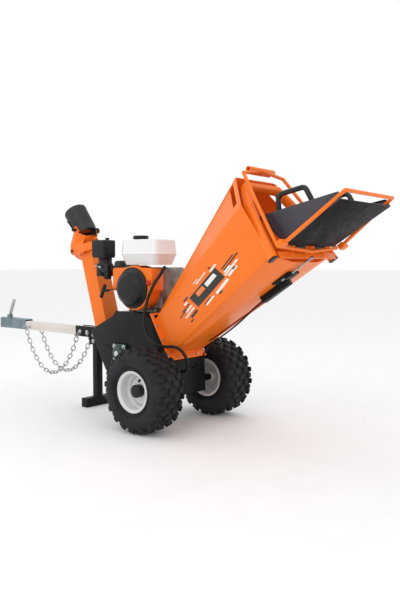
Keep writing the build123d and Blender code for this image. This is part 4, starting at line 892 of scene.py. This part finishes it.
hoop_side = [(HOOP_HALF, -8), (HOOP_HALF, 284), (163, 447)]
hoop_line = [mouth_spot(-across, up, HOOP_OUT) for across, up in hoop_side]
hoop_line += [mouth_spot(across, up, HOOP_OUT) for across, up in reversed(hoop_side)]
t = math.radians(MOUTH_TILT)
mouth_out = Vector((math.cos(t), 0, math.sin(t)))


def squared(value):
    """A sine or cosine pushed outwards, which squares off a circle."""
    return math.copysign(abs(value) ** 0.72, value)


oval = []
for i in range(28):
    a = 2 * math.pi * i / 28
    oval.append((16 * squared(math.cos(a)), 23 * squared(math.sin(a))))
hoop_mesh = swept(rounded_path(hoop_line, [60, 64, 64, 60], 12), oval, normal=mouth_out)
place_piece("hopper_hoop_tube", hoop_mesh, orange_gloss, "chassis", ["hopper_hoop"], 50)
dress("end_plugs", black_plastic, width=1.5, segments=3)
dress("throat_curtain", black_rubber, width=0.8)
dress("mouth_sill", orange_gloss, width=0.8)
dress("stop_hinge_plate", orange_gloss, width=1.0)

ring_points = [mouth_spot(0, 0), mouth_spot(263, 0), mouth_spot(253, 283), mouth_spot(173, 453),
               mouth_spot(0, 453)]
ring_half = rounded_path(ring_points, [24, 60, 30], 10)
ring_loop = ring_half[:-1] + [Vector((p.x, -p.y, p.z)) for p in reversed(ring_half[1:])]
place_piece("stop_ring_bar", swept(ring_loop, circle(ROD_RADIUS, 20), normal=mouth_out, close=True),
            orange_gloss, "stop_bar", ["stop_ring"], 60)
reach = [(760, -240, 676), (1052, -240, 903), (1052, 240, 903), (760, 240, 676)]
clamp_way = Vector((292, 0, 227)).normalized()
clamp_up = Vector((-227, 0, 292)).normalized()
clamps = [bevelled(placed_block((771, s * 251, 684.6), clamp_way, clamp_up, Vector((0, 1, 0)),
                                (30, 26, 44)), 3.0, 3)
          for s in (-1, 1)]
place_piece("stop_u_bar_and_clamps", joined(bar(reach, 34, ROD_RADIUS, 20, 10), *clamps), orange_gloss,
            "stop_bar", ["stop_u_bar"], 50)
dress("stop_rod", zinc_bright, "stop_push_rod", 1.0)
dress("stop_bracket", black_satin, width=1.5)
tray = dress("tray_sheet", tray_painted_sheen, "tray", 0.9)
tray.data.materials.append(tray_painted_shade)
# Faces that point down take the painted-shade copy; the others keep the painted sheen.
for face in tray.data.polygons:
    face.material_index = 1 if face.normal.z < -0.25 else 0
dress("tray_grips", foam_grip, "tray", 1.0)


# ---------------------------------------------------------------- engine
for node, material, name in (("engine_block", cast_alloy, "grey_casting"),
                             ("fan_shroud", orange_gloss, "orange_paint"),
                             ("recoil_cover", black_plastic, "black_plastic"),
                             ("fuel_tank", tank_white, "white_paint"),
                             ("air_cleaner", black_plastic, "black_plastic"),
                             ("carburettor", black_plastic, "black_plastic"),
                             ("muffler", muffler_steel, "steel")):
    dress(node, material, width=1.0)
dress("recoil_handle", black_plastic, "starter_handle", 0.6)
dress("flywheel", machined_alloy, "crank", 0.6)
dress("crankshaft", machined_alloy, "crank", 0.6)
dress("fuel_cap", black_plastic, "cap", 0.8)
dress("choke_lever", zinc_bright, "choke", 0.4)
dress("throttle_lever", black_plastic, "throttle", 0.4)
dress("engine_switch", red_plastic, "switch", 0.8)
dress("control_cable", black_rubber, width=0)


# ---------------------------------------------------------------- labels
def side_spot(along, up, lift=0.35):
    """A point on the hopper's near side panel: along and square to the side label's long edge."""
    x = LABEL_START[0] + along * LABEL_WAY[0] + up * LABEL_WAY[1]
    z = LABEL_START[1] + along * LABEL_WAY[1] - up * LABEL_WAY[0]
    slope = SIDE_NORMAL.x * (x - SIDE_POINT.x) + SIDE_NORMAL.z * (z - SIDE_POINT.z)
    y = SIDE_POINT.y - slope / SIDE_NORMAL.y
    return tuple(Vector((x, y, z)) + SIDE_NORMAL * lift)


def film(corners, thick=0.25):
    """A thin sticker whose outer face has the given corners on the side panel."""
    outer = [side_spot(*c, 0.35 + thick) for c in corners]
    inner = [side_spot(*c, 0.05) for c in corners]
    n = len(corners)
    faces = [tuple(range(n)), tuple(range(2 * n - 1, n - 1, -1))]
    faces += [(i, (i + 1) % n, n + (i + 1) % n, n + i) for i in range(n)]
    return shape(outer + inner, faces)


def stripe(a0, a1, middle, width, slant=8.0, thick=0.3):
    half = width / 2
    return film([(a0 - slant / 2, middle - half), (a1 - slant / 2, middle - half),
                 (a1 + slant / 2, middle + half), (a0 + slant / 2, middle + half)], thick)


LABEL_START = (209.0, 446.0)
LABEL_WAY = (0.747, 0.665)
side_corners = [Vector(flange_spot(-118, 34)), Vector(mouth_spot(-246, 10, SHEET_OUT)),
                Vector(mouth_spot(-241, 280, SHEET_OUT)), Vector(flange_spot(-118, 229))]
SIDE_POINT = side_corners[0]
top_middle = (side_corners[2] + side_corners[3]) / 2
SIDE_NORMAL = (side_corners[1] - side_corners[0]).cross(top_middle - side_corners[0])
SIDE_NORMAL.normalize()
if SIDE_NORMAL.y > 0:
    SIDE_NORMAL = -SIDE_NORMAL
WHITE_STRIPES = [(245, 352, 76, 9), (252, 300, 64, 10), (262, 330, 92, 12), (185, 236, 2, 10),
                 (73, 160, -18, 6),
                 (60, 96, -31, 5), (-61, -34, 0, 10), (-74, -18, 31, 9), (-96, -12, 48, 8), (60, 128, 94, 9),
                 (148, 250, 99, 14)]
BLACK_STRIPES = [(248, 345, 43, 6), (256, 372, 56, 7), (300, 322, 88, 9), (161, 186, 111, 9),
                 (50, 108, 84, 4),
                 (186, 200, -14, 8), (-52, -16, -16, 9), (-96, -30, 14, 6), (-130, -66, 22, 5),
                 (-63, -6, 70, 13), (-80, -58, 84, 8)]
place_piece("side_label_ground", film([(-10, -4), (222, 10), (241, 80), (11, 65)], 0.15), label_black,
            "chassis", angle=30)
place_piece("side_label_white", joined(*[stripe(*row) for row in WHITE_STRIPES],
                                       film([(116, 16), (196, 20), (206, 43), (124, 39)], 0.35)), label_white,
            "chassis", angle=30)
place_piece("side_label_black", joined(*[stripe(*row) for row in BLACK_STRIPES]), label_black, "chassis",
            angle=30)
place_piece("side_label_orange", film([(40, 8), (100, 12), (108, 36), (46, 33)], 0.35), label_orange,
            "chassis", angle=30)


# ---------------------------------------------------------------- studio
def studio():
    """Pale floor and soft light from large panels."""
    world = bpy.data.worlds.new("studio air")
    world.use_nodes = True
    world.node_tree.nodes["Background"].inputs["Color"].default_value = (1.0, 1.0, 1.0, 1.0)
    world.node_tree.nodes["Background"].inputs["Strength"].default_value = 1.0
    bpy.context.scene.world = world
    bm = bmesh.new()
    bmesh.ops.create_grid(bm, x_segments=2, y_segments=2, size=60)
    mesh = bpy.data.meshes.new("floor")
    bm.to_mesh(mesh)
    bm.free()
    floor = bpy.data.objects.new("floor", mesh)
    mesh.materials.append(finish("pale studio floor", (0.90, 0.90, 0.90), (0.88, 0.88, 0.88), 0.7, grain=2,
                                 bump=0.0))
    bpy.context.scene.collection.objects.link(floor)
    panels = (("key panel", (1.2, -3.6, 3.4), (0.2, 0, 0.6), 3.0, 34),
              ("side panel", (4.2, 0.6, 2.2), (0.3, 0, 0.7), 2.4, 6),
              ("top panel", (-0.6, 0.4, 4.6), (0, 0, 0.4), 3.6, 16),
              ("left panel", (-3.6, -2.4, 2.0), (-0.3, 0, 0.5), 2.4, 6))
    for name, place, aim, size, power in panels:
        lamp = bpy.data.lights.new(name, "AREA")
        lamp.size = size
        lamp.energy = power
        holder = bpy.data.objects.new(name, lamp)
        holder.location = place
        holder.rotation_euler = (Vector(aim) - Vector(place)).to_track_quat("-Z", "Y").to_euler()
        bpy.context.scene.collection.objects.link(holder)


studio()
bpy.context.scene.view_settings.view_transform = "Standard"
